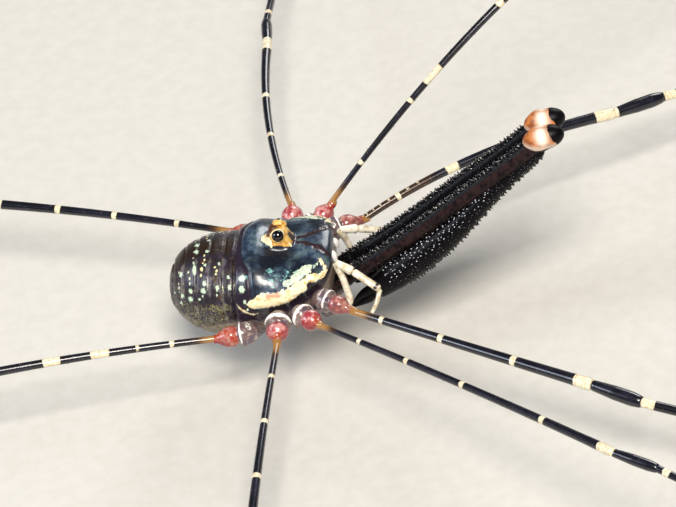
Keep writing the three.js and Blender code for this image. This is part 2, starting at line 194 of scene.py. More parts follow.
# The pale bands of each leg: their distance from the femur's root and half their width in mm.
# Beyond the last one they go on at an even pitch.
BANDS = {
    "leg_1_right": ((1.05, 0.06), (3.35, 0.08), (6.1, 0.08), (8.66, 0.3), (11.1, 0.2)),
    "leg_1_left": ((1.25, 0.06), (3.25, 0.2), (6.1, 0.08), (8.75, 0.42), (11.2, 0.2)),
    "leg_2_right": ((1.85, 0.06), (4.0, 0.07), (6.55, 0.08), (10.2, 0.09), (13.1, 0.35)),
    "leg_2_left": ((1.6, 0.06), (4.15, 0.06), (5.25, 0.35), (8.4, 0.1), (11.3, 0.1), (13.1, 0.3)),
    "leg_3_right": ((1.65, 0.06), (3.75, 0.07), (6.15, 0.08), (8.8, 0.3)),
    "leg_3_left": ((1.6, 0.06), (3.9, 0.07), (6.1, 0.08), (9.05, 0.33)),
    "leg_4_right": ((1.42, 0.06), (2.5, 0.03), (3.7, 0.28), (5.25, 0.26), (7.6, 0.08), (10.0, 0.3)),
    "leg_4_left": ((1.9, 0.06), (4.1, 0.07), (6.1, 0.08), (8.2, 0.08), (10.0, 0.3)),
}
FAR_BAND_PITCH = 2.3

# The hips of each pair: the ball's place from the middle of the trochanter, how far behind it
# its cup is, its thickness and length against the usual, and how orange and how red it is.
HIPS = (
    {"shift": (-0.1, -0.03, 0.12), "cup": 0.46, "size": 0.92, "reach": 1.1,
     "orange": 0.5, "red": 0.52},
    {"shift": (0.1, 0, 0), "cup": 0.36, "size": 1.0, "reach": 1.0, "orange": 0, "red": 1},
    {"shift": (-0.04, 0, 0.03), "cup": 0.38, "size": 1.06, "reach": 0.95, "orange": 0, "red": 1},
    {"shift": (-0.08, 0, 0), "cup": 0.44, "size": 1.0, "reach": 1.35, "orange": 0.8, "red": 1},
)

# The third hip on the left lies this much lower, so that the back half hides it.
LOW_HIP = {"leg": "leg_3_left", "ball": 0.06, "cup": 0.24}

FEMUR_RADII = (0.185, 0.14, 0.155, 0.165)

# Thickness along a leg's pieces, as shares of their length and of the femur's radius.
LEG_FORMS = {
    "femur": ((0, 0.68), (0.06, 0.66), (0.3, 0.74), (0.6, 0.86), (0.9, 1), (0.965, 1.1),
              (0.985, 1.06), (1, 0.95)),
    "patella": ((0, 0.9), (0.15, 1), (0.45, 1.22), (0.78, 1.25), (0.92, 1.08), (1, 0.9)),
    "tibia": ((0, 0.85), (0.05, 0.85), (0.4, 0.8), (0.9, 0.76), (0.97, 0.86), (1, 0.75)),
    "metatarsus": ((0, 0.64), (0.03, 0.66), (0.5, 0.52)),
}

# The thin end of every leg, with radii in mm, and the length of the tarsus's own small joints.
METATARSUS_END = ((0.97, 0.085), (1, 0.075))
TARSUS_FORM = ((0, 0.075), (0.3, 0.065), (0.7, 0.05), (1, 0.035))
TARSUS_BENDS = 8
TARSOMERE = 0.34
FOOT_HEIGHT = 0.1

# Where the femur begins beyond the middle of the trochanter, how far it runs back into the
# hip, and how far the straight pieces run past their joints, in mm.
FEMUR_START = 0.62
FEMUR_INSET = 0.25
OVERLAP = 0.06

# The leg whose root is streaked with short pale dashes, and the length of a dash and its gap.
STREAKED_LEG = "leg_1_left"
DASH_PITCH = 0.31

# Centre lines of the chelicerae in the side view, forward and up, from root to tip.
CHELICERA_SPREAD = 0.43
ARM_LINE = ((1.25, 2.7), (2.3, 3.28), (3.95, 4.27), (5.98, 5.62), (7.82, 6.85), (8.95, 7.66))
ARM_RADII = (0.27, 0.275, 0.28, 0.285, 0.29, 0.3)
KNEE = {"centre": (9.05, 7.72), "length": 0.68, "width": 0.4, "height": 0.4}
HAND_LINE = (
    (8.98, 7.35), (8.2, 6.72), (7.12, 5.84), (6.31, 5.12), (5.59, 4.5),
    (4.7, 3.84), (4.06, 3.42), (3.36, 2.95), (2.75, 2.55),
)
HAND_RADII = (0.2, 0.23, 0.25, 0.31, 0.385, 0.45, 0.5, 0.48, 0.34)
HAND_SPREAD = 0.16
FINGER = {"length": 0.85, "root": 0.15, "tip": 0.03, "spacing": 0.2}

# Rows of spines on arm and hand: their turns in degrees from the top towards the outer side,
# where they begin and end as shares of the length, their spacing and height against the
# usual, how stretched they are along the limb, and how strongly their tips are painted pale as
# glints of light.
ARM_SPINES = (
    ((-20, 4, 24), (0.08, 0.93), 1, 0.85, 1, 0.1),
    ((-70, -56, -42, -30, 12, 34, 46), (0.08, 0.93), 1.4, 0.6, 1, 0.1),
    ((66, 92), (0.05, 0.93), 1.8, 0.45, 1, 0.25),
    ((-150, -120, -95, 128, 145, 165), (0.08, 0.9), 1, 0.65, 1, 0),
)
HAND_SPINES = (
    ((12, 23, 34, 45, 56, 66), (0.3, 0.9), 1.5, 0.66, 2.2, 1),
    ((18, 40, 62, 76, 87), (0.04, 0.9), 1.3, 0.6, 1.3, 0.5),
    ((94, 108, 124, 142), (0.04, 0.84), 1.2, 0.6, 1, 0.3),
    ((160, 176, -168, -150), (0.04, 0.86), 1, 1, 1, 0),
    ((-130, -110, -90, -70, 0, -20), (0.05, 0.85), 1.2, 0.65, 1, 0.25),
)

PALP_POINTS = {
    "root": (1.25, 0.72, 2.3),
    "corner": (1.95, 1.0, 2.5),
    "shoulder": (1.98, 1.0, 3.2),
    "elbow": (1.8, 0.84, 4.02),
    "patella_end": (2.34, 1.1, 3.79),
    "wrist": (3.14, 1.49, 3.28),
    "tip": (2.62, 1.6, 2.28),
}

# Thickness along a pedipalp's pieces: shares of their length, and radii in mm.
PALP_FORMS = {
    "femur": ((0, 0.15), (0.3, 0.14), (0.5, 0.11), (0.8, 0.11), (0.93, 0.125), (1, 0.11)),
    "patella": ((0, 0.11), (0.3, 0.12), (0.8, 0.15), (0.93, 0.145), (1, 0.12)),
    "tibia": ((0, 0.115), (0.1, 0.125), (0.5, 0.115), (0.85, 0.12), (0.96, 0.11), (1, 0.095)),
    "tarsus": ((0, 0.085), (0.1, 0.075), (0.8, 0.065), (1, 0.035)),
}

# What stands for the top when a limb's own direction is close to upright.
SIDEWAYS = (0.2, 1, 0.1)

# The camera looks down on the animal's right side, a little rolled, from close by.
CAMERA = {
    "elevation": 37.0,
    "azimuth": -77.6,
    "roll": 13.5,
    "distance": 165.0,
    "target": (1.33, 1.98, 2.19),
    "lens": 272.4,
    "sensor": 36.0,
}

# Soft square lamps: place and aim in the animal's frame, watts and tint.
LAMPS = {
    "key_panel": ((60, -190, 270), (2, 0, 3), 1.6, "#fff8ee"),
    "fill_panel": ((-220, -60, 150), (0, 0, 3), 0.35, "#e8f0ff"),
    "rim_panel": ((80, 240, 150), (2, 0, 4), 0.3, "#ffffff"),
}
SKY_TINT = "#dfe6f0"
SKY_STRENGTH = 0.13


def linear(code):
    """An sRGB hex colour as linear red, green and blue."""
    parts = [int(code[i:i + 2], 16) / 255 for i in (1, 3, 5)]
    return tuple(p / 12.92 if p <= 0.04045 else ((p + 0.055) / 1.055) ** 2.4 for p in parts)


def colour(name, description, code):
    return bpy.props.FloatVectorProperty(
        name=name, description=description, subtype="COLOR", size=3, min=0, max=1,
        default=linear(code))


def length(name, description, millimetres):
    return bpy.props.FloatProperty(
        name=name, description=description, unit="LENGTH", min=0, default=millimetres * MM)


class HarvestmanSizes(bpy.types.PropertyGroup):
    eye_radius: length("Eye radius", "Radius of each glossy eye", 0.195)
    denticle_height: length("Denticle height", "Height of the spines on the chelicerae", 0.1)
    denticle_spacing: length("Denticle spacing", "Distance between spines in a row", 0.14)
    hair_length: length("Hair length", "Length of the fine hairs on legs and palps", 0.16)
    key_size: length("Key light size", "Side of the main light's panel", 110)
    floor_size: length("Floor size", "Side of the studio floor", 900)


class HarvestmanColours(bpy.types.PropertyGroup):
    carapace: colour("Carapace", "Blue-black of the carapace", "#0d1420")
    carapace_sheen: colour("Carapace sheen", "Steel blue of its lighter clouds", "#3d5068")
    carapace_band: colour("Carapace band", "Purple-brown of its rear edge", "#231b28")
    teal: colour("Teal", "Blue-green flecks over the side stripe", "#7fb9b4")
    cream: colour("Cream", "The stripe along the carapace", "#f3e6be")
    gold: colour("Gold", "The eye mound", "#c08a3e")
    abdomen: colour("Abdomen", "Purple-black of the abdomen", "#1c151f")
    abdomen_band: colour("Abdomen band", "Brown down the middle of the abdomen", "#24160b")
    abdomen_spot: colour("Abdomen spots", "Green-white spots on the tergites", "#b9cdb4")
    abdomen_dot: colour("Abdomen dots", "Yellow dots between the spots", "#dcd3a0")
    olive: colour("Olive", "Mottled lower side of the abdomen", "#8c8856")
    belly: colour("Belly", "Brown-grey underside", "#7c6e60")
    hip: colour("Hip", "Grey-brown of the coxae", "#6f5b56")
    trochanter: colour("Trochanter", "Pink-red of the trochanters", "#9a3a42")
    rim: colour("Rim", "White rims of the coxae", "#f1ede8")
    leg: colour("Leg", "Blue-black of the legs", "#0b0b15")
    leg_root: colour("Leg root", "Golden tan at the root of each leg", "#99703d")
    band: colour("Band", "Cream bands on the legs", "#e6dcbf")
    chelicera: colour("Chelicera", "Black of the chelicerae", "#060508")
    chelicera_band: colour("Chelicera band", "Brown band along each arm", "#2a1b1c")
    knee: colour("Knee", "Orange of the chelicera's knee", "#b8713c")
    palp: colour("Palp", "Cream-white of the pedipalps", "#ebe5d6")
    eye: colour("Eye", "Black of the eyes", "#020204")
    claw: colour("Claw", "Dark horn of the claws", "#2a1a10")
    hair: colour("Hair", "Brown of the fine hairs", "#5a4a3c")
    floor: colour("Floor", "Pale studio floor", "#c4c2bb")


def sizes():
    return bpy.context.scene.harvestman_sizes


def colours():
    return bpy.context.scene.harvestman_colours


def smoothstep(low, high, value):
    part = np.clip((value - low) / (high - low), 0, 1)
    return part * part * (3 - 2 * part)


def bell(value, centre, width):
    return np.exp(-((value - centre) / width) ** 2)


def unit(vectors):
    return vectors / np.maximum(np.linalg.norm(vectors, axis=-1, keepdims=True), 1e-12)


def clouds(points, scale, seed, octaves=3):
    """Smooth random values near -1 to 1 at points, with clouds of the given size in mm."""
    offset = Vector((seed * 7.31, seed * 3.17, seed * 5.73))
    flat = np.asarray(points).reshape(-1, 3) / scale
    values = [noise.fractal(Vector(p) + offset, 1.0, 2.0, octaves) for p in flat]
    return np.array(values).reshape(np.asarray(points).shape[:-1])


def smooth_path(points, steps=24):
    """A Catmull-Rom curve through points."""
    given = np.asarray(points, float)
    ends = (2 * given[0] - given[1], 2 * given[-1] - given[-2])
    p = np.vstack([ends[0], given, ends[1]])
    t = np.linspace(0, 1, steps, endpoint=False)[:, None]
    pieces = []
    for a, b, c, d in zip(p, p[1:], p[2:], p[3:]):
        pieces.append(0.5 * (2 * b + (c - a) * t + (2 * a - 5 * b + 4 * c - d) * t ** 2
                             + (3 * b - a - 3 * c + d) * t ** 3))
    return np.vstack([*pieces, given[-1]])


def distances(path):
    return np.concatenate([[0], np.cumsum(np.linalg.norm(np.diff(path, axis=0), axis=1))])


def at_distances(path, wanted):
    """The points of a path at the given distances along it."""
    along = distances(path)
    return np.stack([np.interp(wanted, along, path[:, i]) for i in range(3)], 1)


def resample(path, spacing):
    """The path with even steps of about the given length, and each point's distance along."""
    whole = distances(path)[-1]
    count = max(int(math.ceil(whole / spacing)), 2) + 1
    even = np.linspace(0, whole, count)
    return at_distances(path, even), even


def mirror(points, side):
    return np.asarray(points, float) * (1, side, 1)


class Shape:
    """Gathers surfaces that become one mesh, with the masks that its finish reads."""

    def __init__(self, *mask_names):
        self.points = []
        self.faces = []
        self.slots = []
        self.masks = {name: [] for name in mask_names}
        self.count = 0

    def add(self, points, faces, slot=0, **masks):
        flat = np.asarray(points, float).reshape(-1, 3)
        self.points.append(flat)
        self.faces += [tuple(int(i) + self.count for i in face) for face in faces]
        self.slots += slot if isinstance(slot, list) else [slot] * len(faces)
        for name, values in self.masks.items():
            given = masks.get(name, 0.0)
            values.append(np.broadcast_to(np.asarray(given, float).reshape(-1), (len(flat),)))
        self.count += len(flat)

    def build(self, name, *materials):
        mesh = bpy.data.meshes.new(name)
        places = (np.vstack(self.points) + ORIGIN) * MM
        mesh.from_pydata(places.tolist(), [], self.faces)
        mesh.polygons.foreach_set("material_index", self.slots)
        mesh.polygons.foreach_set("use_smooth", [True] * len(mesh.polygons))
        for mask, values in self.masks.items():
            layer = mesh.attributes.new(mask, "FLOAT", "POINT")
            layer.data.foreach_set("value", np.concatenate(values).astype(np.float32))
        for material in materials:
            mesh.materials.append(material)
        mesh.validate()
        piece = bpy.data.objects.new(name, mesh)
        bpy.context.scene.collection.objects.link(piece)
        return piece


def ring_faces(low, high, sides):
    """Faces between two rings of points, each given by the number of its first point."""
    return [(low + k, low + (k + 1) % sides, high + (k + 1) % sides, high + k)
            for k in range(sides)]


def tube_faces(rows, sides):
    """Faces of a closed tube whose points are rows of sides, then its first and last pole."""
    faces = []
    for row in range(rows - 1):
        faces += ring_faces(row * sides, (row + 1) * sides, sides)
    first, last, top = rows * sides, rows * sides + 1, (rows - 1) * sides
    for side in range(sides):
        after = (side + 1) % sides
        faces.append((first, after, side))
        faces.append((last, top + side, top + after))
    return faces


def tube_frame(path, reference):
    """Unit vectors along, across to the right of the reference, and up, along a path."""
    forward = unit(np.gradient(path, axis=0))
    across = unit(np.cross(forward, reference))
    return forward, across, np.cross(across, forward)


def tube(path, radii, sides, reference=(0, 0, 1), squash=1.0):
    """Points and faces of a closed tube, and the turn from the top of each of its sides."""
    _, across, up = tube_frame(path, reference)
    turn = np.linspace(0, 2 * math.pi, sides, endpoint=False)
    sine, cosine = np.sin(turn)[None, :, None], np.cos(turn)[None, :, None]
    wide = np.asarray(radii)[:, None, None]
    ring = path[:, None] + wide * (cosine * up[:, None] + squash * sine * across[:, None])
    points = np.vstack([ring.reshape(-1, 3), path[:1], path[-1:]])
    return points, tube_faces(len(path), sides), turn


def poles(values, sides):
    """Values of rows spread over the points of a tube, with those of its two poles."""
    values = np.asarray(values, float)
    return np.concatenate([np.repeat(values, sides), values[:1], values[-1:]])


def rounded(radii, along, reach):
    """Radii that close in a round nose over the given reach at both ends."""
    near = np.minimum(along, along[-1] - along)
    part = np.clip(near / reach, 0, 1)
    return np.asarray(radii) * np.sqrt(np.maximum(1 - (1 - part) ** 2, 1e-4))


def radii_along(stops, along):
    """Radii at distances along a piece. Stops are pairs of share of the length and radius."""
    return np.interp(along / along[-1], *np.array(stops, float).T)


def article(shape, path, stops, sides, spacing=0.08, nose=0.12, slot=0, reference=(0, 0, 1),
            squash=1.0, marks=None):
    """Adds one piece of a limb as a tube with round ends."""
    path = np.asarray(path, float)
    even = resample(path, spacing)[1]
    extra = nose * np.array([0.02, 0.12, 0.3, 0.6])
    along = np.unique(np.concatenate([even, extra, even[-1] - extra]))
    radii = rounded(radii_along(stops, along), along, nose)
    points, faces, turn = tube(at_distances(path, along), radii, sides, reference, squash)
    masks = marks(along, turn, points) if marks else {}
    shape.add(points, faces, slot, **masks)


def add_node(tree, kind, inputs=(), **settings):
    """Adds a node, sets its settings, and sets or links its inputs."""
    made = tree.nodes.new(kind)
    for name, value in settings.items():
        setattr(made, name, value)
    for key, value in dict(inputs).items():
        if isinstance(value, bpy.types.NodeSocket):
            tree.links.new(value, made.inputs[key])
        else:
            made.inputs[key].default_value = value
    return made


def new_material(name):
    material = bpy.data.materials.new(name)
    material.use_nodes = True
    material.node_tree.nodes.clear()
    return material, material.node_tree


def finish_material(tree, inputs, bump=None, bump_strength=0.3, bump_mm=0.01):
    """Ends a tree with a Principled shader, with a bump of the given height if wanted."""
    if bump is not None:
        relief = add_node(tree, "ShaderNodeBump", {
            "Strength": bump_strength, "Distance": bump_mm * MM, "Height": bump})
        inputs = {**inputs, "Normal": relief.outputs[0]}
    shader = add_node(tree, "ShaderNodeBsdfPrincipled", inputs)
    add_node(tree, "ShaderNodeOutputMaterial", {"Surface": shader.outputs[0]})


def cloud_patterns(tree, *kinds):
    """Noise over the surface. Each kind has its cloud size in mm, its detail and roughness."""
    here = add_node(tree, "ShaderNodeTexCoord").outputs["Object"]
    place = add_node(tree, "ShaderNodeVectorMath", {0: here, 1: (1 / MM,) * 3},
                     operation="MULTIPLY").outputs[0]
    return [add_node(tree, "ShaderNodeTexNoise", {
        "Vector": place, "Scale": 1 / size, "Detail": detail, "Roughness": roughness}).outputs[0]
        for size, detail, roughness in kinds]


def risen(tree, *limits):
    """The share where every value has risen from its low to its high limit, smooth between."""
    share = None
    for value, low, high in limits:
        part = add_node(tree, "ShaderNodeMapRange", {0: value, 1: low, 2: high},
                        interpolation_type="SMOOTHSTEP").outputs[0]
        if share is not None:
            part = add_node(tree, "ShaderNodeMath", {0: share, 1: part},
                            operation="MULTIPLY").outputs[0]
        share = part
    return share


def faded(tree, name, low, high):
    """A mask that comes in softly between two of its values."""
    given = add_node(tree, "ShaderNodeAttribute", attribute_name=name).outputs["Fac"]
    return risen(tree, (given, low, high))


def ragged(tree, name, cloud, width):
    """A mask whose edge is broken up by a cloud pattern."""
    given = add_node(tree, "ShaderNodeAttribute", attribute_name=name).outputs["Fac"]
    pushed = add_node(tree, "ShaderNodeMath", {0: cloud, 1: width, 2: -width / 2},
                      operation="MULTIPLY_ADD").outputs[0]
    moved = add_node(tree, "ShaderNodeMath", {0: given, 1: pushed}, operation="ADD").outputs[0]
    return risen(tree, (moved, 0.4, 0.6))


def layered(tree, base, *layers):
    """Lays colours over a base, each by a share or by the name of a mask. A colour is three
    numbers or a socket."""
    for share, top in layers:
        if isinstance(share, str):
            share = add_node(tree, "ShaderNodeAttribute", attribute_name=share).outputs["Fac"]
        under, over = ((*c, 1) if isinstance(c, tuple) else c for c in (base, top))
        base = add_node(tree, "ShaderNodeMix", {0: share, 6: under, 7: over},
                        data_type="RGBA").outputs[2]
    return base


def mottled(tree, cloud, low, high, first, second):
    """One colour, and a second where a cloud pattern rises from low to high."""
    return layered(tree, first, (risen(tree, (cloud, low, high)), second))


def chosen(name):
    return tuple(getattr(colours(), name))


def carapace_material():
    # Sclerotised chitin, hardened and polished by wear: dark blue-black with a wet gloss,
    # soft steel-blue clouds, and cream and teal markings that lie in the cuticle.
    material, tree = new_material("carapace_polished_chitin")
    broad, soft, grain, fine = cloud_patterns(
        tree, (1.1, 3, 0.55), (0.35, 4, 0.55), (0.1, 4, 0.75), (0.14, 3, 0.55))
    steel = mottled(tree, soft, 0.46, 0.66, chosen("carapace_sheen"), linear("#56696f"))
    sheen = risen(tree, (broad, 0.36, 0.62), (soft, 0.28, 0.6), (grain, 0.2, 0.55))
    teal = mottled(tree, grain, 0.44, 0.58, linear("#2e5f69"), chosen("teal"))
    gold = mottled(tree, fine, 0.4, 0.6, chosen("gold"), linear("#dfb968"))
    lobe = mottled(tree, grain, 0.44, 0.62, linear("#dfe3c4"), linear("#8fb3a4"))
    cream = mottled(tree, fine, 0.5, 0.66, chosen("cream"), linear("#d9b878"))
    cream = layered(tree, cream, (ragged(tree, "pink", fine, 0.5), linear("#d6a283")))
    base = layered(
        tree, chosen("carapace"),
        (sheen, steel),
        (ragged(tree, "band", fine, 0.3), chosen("carapace_band")),
        (ragged(tree, "teal", grain, 2.2), teal),
        (ragged(tree, "gold", fine, 0.3), gold),
        (faded(tree, "rust", 0.1, 0.9), linear("#4d2a19")),
        (ragged(tree, "brown", fine, 0.6), linear("#2f1c20")),
        (ragged(tree, "yellow", fine, 0.3), chosen("abdomen_dot")),
        (ragged(tree, "spot", grain, 1.6), chosen("abdomen_spot")),
        (ragged(tree, "ridge", grain, 1.0), lobe),
        (ragged(tree, "cream", grain, 0.4), cream),
        (ragged(tree, "pore", fine, 0.3), linear("#1d1216")),
        (faded(tree, "under", 0.3, 0.9), chosen("belly")))
    rough = add_node(tree, "ShaderNodeMapRange", {0: grain, 3: 0.22, 4: 0.36}).outputs[0]
    finish_material(tree, {
        "Base Color": base, "Roughness": rough, "IOR": 1.5, "Coat Weight": 0.25,
        "Coat Roughness": 0.14}, grain, 0.22, 0.01)
    return material


def abdomen_material():
    # Leathery cuticle over the soft abdomen, tanned in cross bands: satin, finely wrinkled,
    # purple-black above with pale spots, mottled olive and grey below.
    material, tree = new_material("abdomen_leathery_cuticle")
    broad, rust, fine, grain = cloud_patterns(
        tree, (0.35, 4, 0.55), (0.2, 3, 0.55), (0.1, 3, 0.55), (0.05, 3, 0.7))
    bar = mottled(tree, rust, 0.4, 0.6, linear("#4c4650"), linear("#6a665c"))
    under = mottled(tree, rust, 0.45, 0.6, chosen("belly"), linear("#3a2e28"))
    olive = mottled(tree, fine, 0.45, 0.6, linear("#5c5a49"), chosen("olive"))
    base = layered(
        tree, chosen("abdomen"),
        (risen(tree, (broad, 0.48, 0.62)), linear("#2b2432")),
        (risen(tree, (rust, 0.56, 0.66)), linear("#3c2817")),
        (ragged(tree, "brown", fine, 1.2), chosen("abdomen_band")),
        (ragged(tree, "bar", grain, 1.4), bar),
        (ragged(tree, "band", fine, 0.3), chosen("carapace_band")),
        (faded(tree, "under", 0.1, 0.7), under),
        (ragged(tree, "olive", grain, 1.5), olive),
        (ragged(tree, "cream", fine, 0.8), linear("#b3a988")),
        (ragged(tree, "yellow", grain, 1.2), chosen("abdomen_dot")),
        (ragged(tree, "spot", grain, 1.8), chosen("abdomen_spot")))
    rough = add_node(tree, "ShaderNodeMapRange", {0: fine, 3: 0.28, 4: 0.5}).outputs[0]
    finish_material(tree, {
        "Base Color": base, "Roughness": rough, "IOR": 1.5, "Coat Weight": 0.2,
        "Coat Roughness": 0.2}, fine, 0.6, 0.02)
    return material


def hip_material():
    # Thin chitin of the hips, lightly tanned: light gets a little way in, so the coxae look
    # grey-brown and glassy, the trochanters pink-red to orange, and the rims white. A pale painted
    # highlight lies on top of each cup, and painted shade darkens the underside of each
    # trochanter's far end.
    material, tree = new_material("hip_thin_chitin")
    broad, fine, grain = cloud_patterns(tree, (0.3, 3, 0.55), (0.16, 3, 0.55), (0.06, 3, 0.55))
    red = mottled(tree, fine, 0.4, 0.72, chosen("trochanter"), linear("#d8a29c"))
    orange = mottled(tree, fine, 0.4, 0.68, linear("#a83c1e"), linear("#ac8273"))
    # The deep crimson is painted shade on the underside of each trochanter's far end.
    red = layered(tree, red, ("warm", orange), ("deep", linear("#8a1f2b")))
    base = layered(
        tree, linear("#5d4d5a"),
        (risen(tree, (broad, 0.36, 0.62)), chosen("hip")),
        (risen(tree, (fine, 0.48, 0.74)), linear("#ab9a93")),
        (ragged(tree, "red", fine, 0.3), red),
        (faded(tree, "tan", 0.1, 0.9), chosen("leg_root")),
        (ragged(tree, "pale", grain, 0.9), chosen("rim")))
    finish_material(tree, {
        "Base Color": base, "Roughness": 0.22, "IOR": 1.5, "Subsurface Weight": 0.3,
        "Subsurface Radius": (1.0, 0.4, 0.3), "Subsurface Scale": 0.12 * MM,
        "Coat Weight": 0.5, "Coat Roughness": 0.08}, grain, 0.5, 0.015)
    return material


def leg_material():
    # Hard leg chitin, smooth as moulded: blue-black with a strong gloss, cream bands where
    # the cuticle has no pigment, painted brighter on their upper side as a painted highlight, and a
    # golden tan root.
    material, tree = new_material("leg_glossy_chitin")
    fine, streak = cloud_patterns(tree, (0.08, 3, 0.55), (0.5, 3, 0.55))
    root = layered(tree, linear("#3a2719"), (faded(tree, "tan", 0.45, 1.0), chosen("leg_root")))
    pale = mottled(tree, fine, 0.45, 0.68, chosen("band"), linear("#c4ae86"))
    base = layered(
        tree, chosen("leg"),
        (risen(tree, (streak, 0.45, 0.65)), linear("#191826")),
        (faded(tree, "tan", 0.05, 0.5), root),
        (ragged(tree, "pale", fine, 0.5), pale))
    finish_material(tree, {
        "Base Color": base, "Roughness": 0.24, "IOR": 1.54, "Coat Weight": 0.25,
        "Coat Roughness": 0.12}, fine, 0.25, 0.006)
    return material


def chelicera_material():
    # Thick black chitin between the spines of the chelicerae, hardened and unpolished: deep
    # satin black that keeps hardly any shine, with a brown band and an orange-cream knee that
    # carries a white painted highlight on its upper sides.
    material, tree = new_material("chelicera_black_chitin")
    fine, warm = cloud_patterns(tree, (0.07, 3, 0.55), (0.22, 4, 0.55))
    band = mottled(tree, warm, 0.42, 0.62, chosen("chelicera_band"), linear("#120b0d"))
    shade = mottled(tree, warm, 0.45, 0.62, chosen("knee"), linear("#8a4d28"))
    # The white layer is a painted highlight on the knee's upper sides, and pale cream underneath.
    patch = layered(tree, shade, ("white", linear("#f0e4d4")))
    base = layered(
        tree, chosen("chelicera"),
        (risen(tree, (warm, 0.5, 0.7)), linear("#0f0a10")),
        (ragged(tree, "brown", fine, 0.9), band),
        (ragged(tree, "orange", warm, 0.6), patch))
    finish_material(tree, {
        "Base Color": base, "Roughness": 0.4, "IOR": 1.5, "Specular IOR Level": 0.12},
        fine, 0.35, 0.01)
    return material


def denticle_material():
    # The spines of the chelicerae, hard chitin polished at the points: black and glossy, with
    # tips painted pale as small glints of light.
    material, tree = new_material("denticle_polished_chitin")
    # Pale tips painted as glints of light, a painted highlight.
    base = layered(tree, chosen("chelicera"), (faded(tree, "worn", 0.3, 1.0), linear("#dfe2ee")))
    finish_material(tree, {
        "Base Color": base, "Roughness": 0.16, "IOR": 1.56, "Coat Weight": 0.3,
        "Coat Roughness": 0.05})
    return material


def palp_material():
    # Unpigmented thin chitin of the pedipalps: cream-white, satin and slightly translucent,
    # tan at the joints, with a dark mark at the end of the tibia.
    material, tree = new_material("pedipalp_pale_chitin")
    fine = cloud_patterns(tree, (0.25, 3, 0.55))[0]
    base = layered(
        tree, chosen("palp"),
        (risen(tree, (fine, 0.42, 0.62)), linear("#cdbf9f")),
        (ragged(tree, "tan", fine, 0.5), linear("#b08f5c")),
        (ragged(tree, "dark", fine, 0.4), linear("#4a3d36")))
    finish_material(tree, {
        "Base Color": base, "Roughness": 0.3, "IOR": 1.5, "Subsurface Weight": 0.45,
        "Subsurface Radius": (1.0, 0.7, 0.4), "Subsurface Scale": 0.1 * MM,
        "Coat Weight": 0.2, "Coat Roughness": 0.15}, fine, 0.15, 0.006)
    return material


def eye_material():
    # A clear hard cornea over black pigment: a deep mirror-like black with a faint brown
    # cloud under the surface.
    material, tree = new_material("eye_cornea")
    cloud = cloud_patterns(tree, (0.15, 3, 0.55))[0]
    base = mottled(tree, cloud, 0.5, 0.8, chosen("eye"), linear("#120a08"))
    finish_material(tree, {
        "Base Color": base, "Roughness": 0.06, "IOR": 1.45, "Coat Weight": 1.0,
        "Coat Roughness": 0.02})
    return material


def claw_material():
    # Solid horn of the claws, drawn to a point: dark brown and glossy, clouded with a paler
    # brown.
    material, tree = new_material("claw_horn")
    cloud = cloud_patterns(tree, (0.06, 3, 0.55))[0]
    base = mottled(tree, cloud, 0.4, 0.7, chosen("claw"), linear("#5a3c22"))
    finish_material(tree, {"Base Color": base, "Roughness": 0.25, "IOR": 1.55}, cloud, 0.2, 0.004)
    return material


def hair_material():
    # Fine bristles of chitin, pale towards their tips so that they glow a little.
    material, tree = new_material("hair_bristle_chitin")
    base = layered(tree, chosen("hair"), ("tip", linear("#b7a688")))
    finish_material(tree, {"Base Color": base, "Roughness": 0.4, "IOR": 1.55})
    return material


def floor_material():
    # Matt painted board, rolled on: pale and even, with a faint tooth that is drawn coarser
    # than real paint so that it shows at this distance.
    material, tree = new_material("floor_matt_paint")
    tooth = cloud_patterns(tree, (0.5, 3, 0.55))[0]
    tint = mottled(tree, tooth, 0.3, 0.7, chosen("floor"), linear("#c9c7c1"))
    finish_material(tree, {"Base Color": tint, "Roughness": 0.85}, tooth, 0.05, 0.02)
    return material


def body_points(along, turn, inset):
    """Points of the body for shares from -1 to 1 along it and a turn from the right side up."""
    b = BODY
    middle = (b["front"] + b["rear"]) / 2
    reach = (b["front"] - b["rear"]) / 2 - inset
    power = np.where(along > 0, 3.6, 2.0)
    swell = np.maximum(1 - np.abs(along) ** power, 0) ** (1 / power)
    x = middle + along * reach
    past = x + 1
    square = b["squareness"] * smoothstep(-1.5, -0.7, x)
    across = np.sign(np.cos(turn)) * np.abs(np.cos(turn)) ** (1 - square)
    up = np.sign(np.sin(turn)) * np.abs(np.sin(turn)) ** (1 - square)
    side_z = b["side_height"] + b["side_rise"] * past + b["side_curve"] * past ** 2
    hump = b["hump_height"] * bell(x, b["hump_x"], b["hump_length"])
    back = b["back_height"] + b["back_slope"] * along + b["back_curve"] * along ** 2 + hump
    pinch = np.where(up < 0, 1 - b["belly_pinch"] * up ** 2, 1)
    y = -across * pinch * (b["half_width"] - inset) * swell
    z = side_z + up * (np.where(up > 0, back, b["belly_depth"]) - inset) * swell
    return np.stack(np.broadcast_arrays(x, y, z), -1)


def ahead_of_waist(points, from_top):
    """Distance in front of the waist, so that it is negative on the abdomen."""
    return points[..., 0] - np.interp(from_top, *zip(*WAIST_LINE))


def mirrored(points):
    """Points with those of the left side brought over to the right."""
    return np.stack([points[..., 0], -np.abs(points[..., 1]), points[..., 2]], -1)


def on_body(x, degrees):
    """The point of the right side at x, so many degrees down from the top."""
    b = BODY
    middle = (b["front"] + b["rear"]) / 2
    reach = (b["front"] - b["rear"]) / 2 - b["inset"]
    share = np.array((x - middle) / reach).clip(-0.999, 0.999)
    return body_points(share, np.array(math.radians(90 - degrees)), b["inset"])


